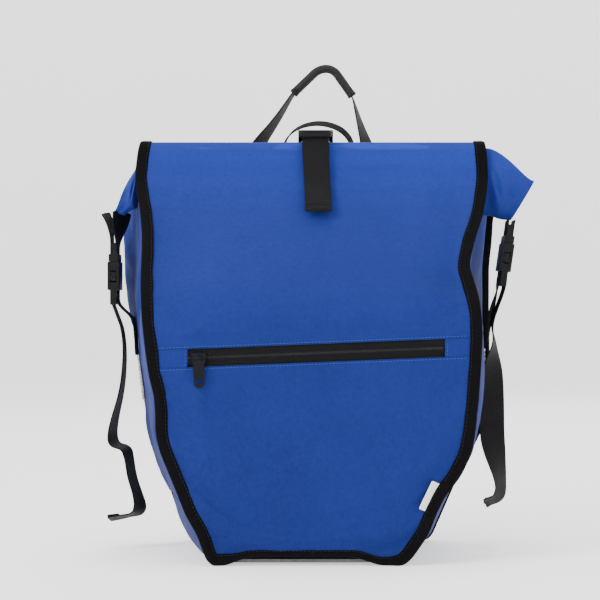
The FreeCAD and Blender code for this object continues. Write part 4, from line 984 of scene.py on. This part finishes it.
def ear(word, sign, inner, inner_half, outer, outer_half, lean):
    """A folded end of the roll: from hidden rings inside it to a pressed edge above the buckle."""
    lo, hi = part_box(f"roll_end_{word}")
    mid_y, deep = (lo.y + hi.y) / 2, (hi.y - lo.y) / 2
    count, around, hidden = 26, 56, 4
    lean = math.radians(lean)
    points = []
    for i in range(-hidden, count + 1):
        t = max(i, 0) / count
        ease = smooth(t)
        cx = inner[0] + (outer[0] - inner[0]) * t + 0.003 * min(i, 0)
        cz = inner[1] + (outer[1] - inner[1]) * (ease if sign > 0 else t ** 0.8)
        tall = inner_half + (outer_half - inner_half) * ease
        tilt = lean * smooth(t * 1.05)
        thick = deep * (1 - 0.80 * smooth(t * 1.1)) * (1 + 0.25 * math.sin(math.pi * t))
        thick *= 0.75 + 0.25 * smooth((i + 1) / 8)
        axis = Vector((math.sin(tilt) * (1 if sign > 0 else 0.6), 0, math.cos(tilt)))
        for angle in angles(around):
            out, up = squarer(math.cos(angle), 0.75), squarer(math.sin(angle), 0.8)
            fold = 0.0020 * math.sin(3.1 * up + 5.0 * t + 0.6) * math.sin(math.pi * min(t * 1.2, 1))
            crumple = 0.0026 * smooth(t * 4) * smooth((1 - t) * 6)
            fold += crumple * ripple(cx * 1.3, up * 0.012, cz + up * tall, 0.011)
            dent = -0.0070 * hump(t, 0.27, 0.13) * hump(up, 0.55 - 2.1 * t, 0.17)
            y = mid_y + out * max(thick + fold + dent, 0.0012)
            p = Vector((cx, 0, cz)) + axis * (up * tall)
            points.append(Vector((sign * p.x, y, p.z)))
    obj = add_mesh(f"roll_end_{word}_cloth", points, ring_faces(count + 1 + hidden, around), MAT["blue"])
    refine(obj)
    piece(obj, "bag", "blue_cloth", f"roll_end_{word}")


# ---- straps ----


def side_strap(name, marks, *replaced, wide=WEB, curl=0.0, tip=0.0):
    """A side strap's ribbon through (x, z, turn) marks in millimetres."""
    route = [(x, STRAP_Y / MM, z, turn) for x, z, turn in marks]
    piece(ribbon(name, route, MAT["web"], wide, curl=curl, tip=tip), "bag", "webbing", *replaced)


def build_straps():
    """The two side straps with their tails and hems, and the tabs on the roll's ends."""
    left = [(-168.2, 186, 0), (-169.2, 205, 0), (-171.0, 222, 0), (-183, 232, 0), (-186.6, 238, 0),
            (-186.6, 246, 0), (-189.5, 246.2, 0), (-192.4, 246, 0), (-192.4, 238, 0), (-188, 226, 0),
            (-182, 210, 0), (-180, 184, 2), (-183, 152, 5), (-191, 122, 12), (-192.8, 106, 16),
            (-189.5, 99.5, 20), (-179, 96.5, 20), (-176.4, 89, 14), (-174, 70, 14), (-168.5, 54, 14),
            (-165.2, 40, 22), (-168, 34, 36), (-182, 31, 56), (-196, 28.6, 60)]
    right = [(168.2, 186, 0), (169.8, 208, 10), (172.5, 228, 18), (177.2, 244, 10), (178.8, 254, 0),
             (180.2, 264, 0), (183, 264.8, 0), (185.8, 263.4, 0), (184.0, 250, 0), (177, 232, 0),
             (172, 216, 2), (175, 200, 10), (174, 186, 30), (172.6, 170, 62), (172.4, 140, 82),
             (172.8, 108, 78), (176, 90, 58), (180, 72, 36), (181.5, 57, 28), (178.5, 48.5, 42),
             (166, 44, 62)]
    for word, marks, sign in (("left", left, -1), ("right", right, 1)):
        side_strap(f"{word}_side_web", marks, f"{word}_side_strap", curl=0.0004)
        for rise, tag in ((0, "low"), (0.016, "high")):
            x, z = marks[0][0] * MM + sign * (0.0011 + rise * 0.06), 0.190 + rise
            line = [Vector((x, a, z)) for a in span(STRAP_Y - 0.010, STRAP_Y + 0.010, 8)]
            bar = stitches(f"{word}_web_bar_{tag}", line, [(sign, 0, 0)] * 8, MAT["thread_black"],
                           0.0022, 0.0019, 0.0004)
            piece(bar, "bag", "webbing")
    side_strap("left_web_hem", [(-196, 29.9, 60), (-190, 31.0, 58.5), (-184, 32.0, 57)], wide=WEB * 0.98)
    side_strap("right_web_hem", [(164.5, 44.6, 66), (170, 47.4, 60), (175.5, 50.6, 50)], wide=WEB * 0.98,
               tip=0.30)
    tab = [(-182.6, 324, 40), (-184.4, 312, 32), (-186.6, 296, 4), (-186.8, 288.2, 0), (-189.5, 287.9, 0),
           (-192.2, 288.2, 0), (-192.4, 300, 0), (-194.5, 314, 10), (-199, 323, 16)]
    side_strap("left_tab_web", tab, "left_roll_tab")
    tab = [(187.8, 316, 0), (187.0, 311, 0), (186.6, 306.4, 0), (189, 305.4, 0), (191.6, 305.9, 0),
           (192.6, 311, 0), (194, 316, 0)]
    side_strap("right_tab_web", tab, "right_roll_tab")


def top_strap_x():
    lo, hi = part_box("top_strap")
    return (lo.x + hi.x) / 2


def build_top_strap():
    """Webbing over the roll: sewn low on the front, through the buckle and back as a short hemmed tail."""
    x = top_strap_x() / MM
    under = [(x + 1.6, -7.4, 338), (x + 1.0, 5.4, 355), (x, 6.1, 372), (x, 6.3, 388), (x, 12, 392.6),
             (x, 30, 392.7)]
    over = [(x, 44, 392.9), (x, 48.5, 393.2), (x, 48.5, 398.9), (x, 44, 399.1), (x - 0.4, 20, 398.9),
            (x - 0.8, 8, 398.6), (x - 1.0, 3.4, 395), (x - 0.6, 2.6, 378), (x + 0.6, 1.8, 362),
            (x + 1.0, -1.5, 352), (x + 1.6, -12, 337.5), (x + 2.0, -23.0, 321.5)]
    route = [(*p, 90) for p in under + over]
    strap = ribbon("top_web", route, MAT["web"], passes=3)
    piece(strap, "bag", "webbing", "top_strap")
    hem = [(x + 2.0, -24.9, 321.2, 90), (x + 1.8, -20.8, 327, 90), (x + 1.6, -17.0, 332.4, 90)]
    piece(ribbon("top_web_hem", hem, MAT["web"], WEB * 1.01), "bag", "webbing")
    for z, y, tag in ((324.3, -24.0, "low"), (329.3, -20.4, "high")):
        line = [Vector(((x + 2.2 + a) * MM, y * MM - 0.0002, z * MM)) for a in span(-11, 11, 10)]
        normal = [(0, -0.81, 0.59)] * 10
        seam = stitches(f"top_web_seam_{tag}", line, normal, MAT["thread_black"], 0.0022, 0.0018)
        piece(seam, "bag", "webbing")
    tab = [(x, 82.2, 322), (x, 82.2, 348), (x, 70, 351.4), (x, 66.6, 351.8), (x, 66.6, 357), (x, 72, 357.4),
           (x, 83.6, 352), (x, 83.9, 346), (x, 83.9, 326)]
    strap = ribbon("top_tab_web", [(*p, 90) for p in tab], MAT["web"])
    piece(strap, "bag", "webbing", "top_roll_tab")
    loop = [(-29, 322, 0), (-29.5, 365, 4), (-29, 390, 14), (-24, 403, 22), (-12, 412.5, 24),
            (6.5, 416.5, 24), (25, 412.5, 24), (37, 403, 22), (42, 390, 14), (42.5, 365, 4), (42, 322, 0)]
    loop = [(across, 86, z, turn) for across, z, turn in loop]
    piece(ribbon("hang_loop_web", loop, MAT["web"], 0.010, tip=0.55), "bag", "webbing", "hang_loop")


def build_keeper():
    """Glossy slide that holds the top strap's tail down at the front of the roll."""
    x = top_strap_x() - 0.001
    front, back, reach = -0.0004, 0.0125, 0.0142
    marks = [(x, front, 0.3968), (x + reach, front, 0.3968), (x + reach, back, 0.3959),
             (x - reach, back, 0.3959), (x - reach, front, 0.3968), (x, front, 0.3968)]
    path = Path(rounded(marks, [0.0026] * 4, 0.0006))
    stations, around = path.spread(0.0007)[:-1], 24
    points = []
    for s in stations:
        centre = path.at(s)
        along = path.at((s + 0.0004) % path.long) - path.at((s - 0.0004) % path.long)
        side = along.normalized().cross(Vector((0, 0, 1))).normalized()
        share = smooth((centre.y - front) / (back - front) * 1.3)
        tall, deep = 0.0034 - 0.0020 * share, 0.0018 - 0.0005 * share
        for angle in angles(around):
            out, up = squarer(math.cos(angle), 0.6) * deep, squarer(math.sin(angle), 0.6) * tall
            points.append(centre + side * out + Vector((0, 0, up)))
    faces = grid_faces(len(stations), around, around=True, closed=True)
    piece(add_mesh("top_web_keeper", points, faces, MAT["buckle"]), "bag", "buckle_plastic")


# ---- handle ----

HANDLE_Y = 92.03
GRIP_ROUTE = [(-18.5, 446), (6, 469.5), (20.5, 472.5), (41, 443.5)]


def build_handle():
    """Loops round the latch bars, the two webbing legs up to the grip, and the rubber grip."""
    loops = []
    for sign, word in ((-1, "left"), (1, "right")):
        x, y = sign * 72.5, HANDLE_Y
        loop = [(-0.7, 341), (-0.7, 312), (-3.4, 304), (-3.6, 296), (-2.6, 293.4), (0, 293), (2.6, 293.4),
                (3.6, 296), (3.4, 304), (0.9, 312), (0.9, 330)]
        loop = [(x, y + back, z, 90) for back, z in loop]
        loops.append(ribbon(f"handle_loop_{word}", loop, MAT["web"]))
        for z in (316, 325):
            line = [Vector(((x + a) * MM, (y + 1.7) * MM, z * MM)) for a in span(-10, 10, 10)]
            seam = stitches(f"handle_seam_{word}_{z}", line, [(0, 1, 0)] * 10, MAT["thread_black"],
                            0.0022, 0.0018)
            piece(seam, "handle_yoke", "webbing")
        top = GRIP_ROUTE[0] if sign < 0 else GRIP_ROUTE[-1]
        middle = (-51.9, 396.6) if sign < 0 else (54.3, 396.6)
        leg = [(x, y, 334, 90), (x, y, 346, 88), (sign * 68, y, 360, 78), (sign * 60.5, y, 380, 52),
               (middle[0], y, 397, 32), ((middle[0] + top[0]) / 2, y, 419, 16), (top[0], y, top[1], 4),
               (top[0] + sign * -4, y, top[1] + 4.5, 4)]
        strap = ribbon(f"handle_leg_{word}", leg, MAT["web"], WEB * 0.92)
        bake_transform(strap)
        if sign < 0:
            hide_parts("handle_bow")
    piece(loops[0], "handle_yoke", "webbing", "handle_lower_straps")
    piece(loops[1], "handle_yoke", "webbing")
    build_grip()


def build_grip():
    """Moulded rubber sleeve with rows of dimples and a lip at each end."""
    route = rounded([(x * MM, HANDLE_Y * MM, z * MM) for x, z in GRIP_ROUTE], [0.018, 0.014], 0.0007)
    path = Path(route)
    around, radius, dimple_pitch = 40, 0.0043, 0.0052
    points, uvs = [], []
    stations = path.spread(0.0008)
    depth = Vector((0, 1, 0))
    for s in stations:
        centre, along = path.at(s), path.tangent(s)
        out = along.cross(depth).normalized()
        lip = 0.0005 * (hump(s, 0.0015, 0.0012) + hump(path.long - s, 0.0015, 0.0012))
        place = (s % dimple_pitch) / dimple_pitch - 0.5
        inside = smooth((s - 0.006) / 0.003) * smooth((path.long - s - 0.006) / 0.003)
        for angle in angles(around):
            dimple = hump(place, 0, 0.22) * smooth((math.cos(3 * angle) - 0.35) / 0.4) * inside
            r = radius + lip - 0.0011 * dimple
            points.append(centre + depth * (math.cos(angle) * r) + out * (math.sin(angle) * r * 0.98))
            uvs.append((angle * radius, s))
    grip = add_mesh("handle_grip_rubber", points, ring_faces(len(stations), around), MAT["grip"], uvs)
    piece(grip, "handle_bow", "grip_rubber", "handle_grip")


# ---- hard parts that keep their CAD shape ----

PRONGS = {"left": ("front", "rear"), "right": ("front", "rear"), "top": ("left", "right")}
HARD = {
    "buckle": [f"{buckle}_buckle_{part}" for buckle, (one, other) in PRONGS.items()
               for part in ("socket", "plug", f"prong_{one}", f"prong_{other}")],
    "hook": ["hook_left", "hook_right", "latch_left", "latch_right", "anchor_slider", "anchor_hook"],
    "insert": ["hook_inserts"],
    "rail": ["hook_rail", "anchor_rail"],
    "steel": ["rail_screws", "latch_pins", "latch_springs"],
    "zip_metal": ["zip_slider", "zip_pull"],
    "board": ["backboard", "base_board", "roll_stiffener"],
}
EDGE_ROUNDING = {"buckle": 0.0010, "hook": 0.0012, "rail": 0.0006, "zip_metal": 0.0003}


def dress_hard_parts():
    for kind, names in HARD.items():
        for name in names:
            obj = NODES[name]
            obj.data.materials.clear()
            obj.data.materials.append(MAT[kind])
            if kind in EDGE_ROUNDING:
                obj.modifiers.new("Weld", "WELD").merge_threshold = 0.00001
                bevel = obj.modifiers.new("Edges", "BEVEL")
                bevel.width, bevel.segments = EDGE_ROUNDING[kind], 2
                bevel.limit_method, bevel.angle_limit = "ANGLE", math.radians(40)
                bevel.harden_normals = True


# ---- floor, light and camera ----


def build_stage():
    """A pale round floor whose rim sweeps up all round, soft lamps and the camera."""
    corners = [(0.2, 0, 0), (FLOOR_RADIUS, 0, 0), (FLOOR_RADIUS, 0, FLOOR_WALL)]
    profile = rounded(corners, [FLOOR_CORNER], 0.08)
    around = 96
    points = [Vector((0, 0, FLOOR_Z))]
    for p in profile:
        points += [Vector((p.x * math.cos(a), p.x * math.sin(a), p.z + FLOOR_Z)) for a in angles(around)]
    faces = [(0, 1 + k, 1 + (k + 1) % around) for k in range(around)]
    faces += [tuple(1 + i for i in face[::-1]) for face in grid_faces(len(profile), around, around=True)]
    s = Shader("floor", (0.93, 0.93, 0.93), 0.8, Emission_Color=(1, 1, 1, 1), Emission_Strength=0.66)
    s.paint(s.noise(3, 3.0), 0.3, 0.7, (0.985,) * 3, (1.005,) * 3)
    s.scuff(s.noise(20, 3.0), 0.7, 0.9)
    floor = add_mesh("floor", points, faces, s.material)
    world = bpy.data.worlds.new("studio")
    world.use_nodes = True
    background = world.node_tree.nodes["Background"].inputs
    background["Color"].default_value, background["Strength"].default_value = (1.0, 1.0, 1.0, 1), 0.6
    bpy.context.scene.world = world
    lamp("key", (-1.3, -1.1, 1.5), (0.0, 0.0, 0.30), 0.9, 36)
    lamp("top", (0.0, 0.0, 2.4), (0.0, 0.0, 0.3), 1.6, 34)
    lamp("fill", (1.5, -1.7, 0.7), (0.0, 0.0, 0.25), 1.4, 6)
    lamp("rear", (0.8, 2.0, 1.6), (0.0, 0.0, 0.25), 1.4, 22)
    data = bpy.data.cameras.new("camera")
    data.lens, data.sensor_width = 100, 36
    camera = bpy.data.objects.new("camera", data)
    camera.location = (-0.0117, Y_FRONT - 1.5, 0.239)
    camera.rotation_euler = (math.pi / 2, 0, 0)
    bpy.context.scene.collection.objects.link(camera)
    bpy.context.scene.camera = camera


def lamp(name, at, target, size, power):
    """A round soft lamp that faces its target."""
    data = bpy.data.lights.new(name, "AREA")
    data.shape, data.size, data.energy = "DISK", size, power
    obj = bpy.data.objects.new(name, data)
    obj.location = at
    obj.rotation_euler = (Vector(target) - Vector(at)).to_track_quat("-Z", "Y").to_euler()
    bpy.context.scene.collection.objects.link(obj)


build_stage()
build_front()
bind_edge("front", front_point, FRONT, 1.0)
build_zip()
build_label()
build_sides()
build_base()
build_back()
bind_edge("back", back_point, BACK, 3.2)
build_roll()
build_straps()
build_top_strap()
build_keeper()
build_handle()
dress_hard_parts()
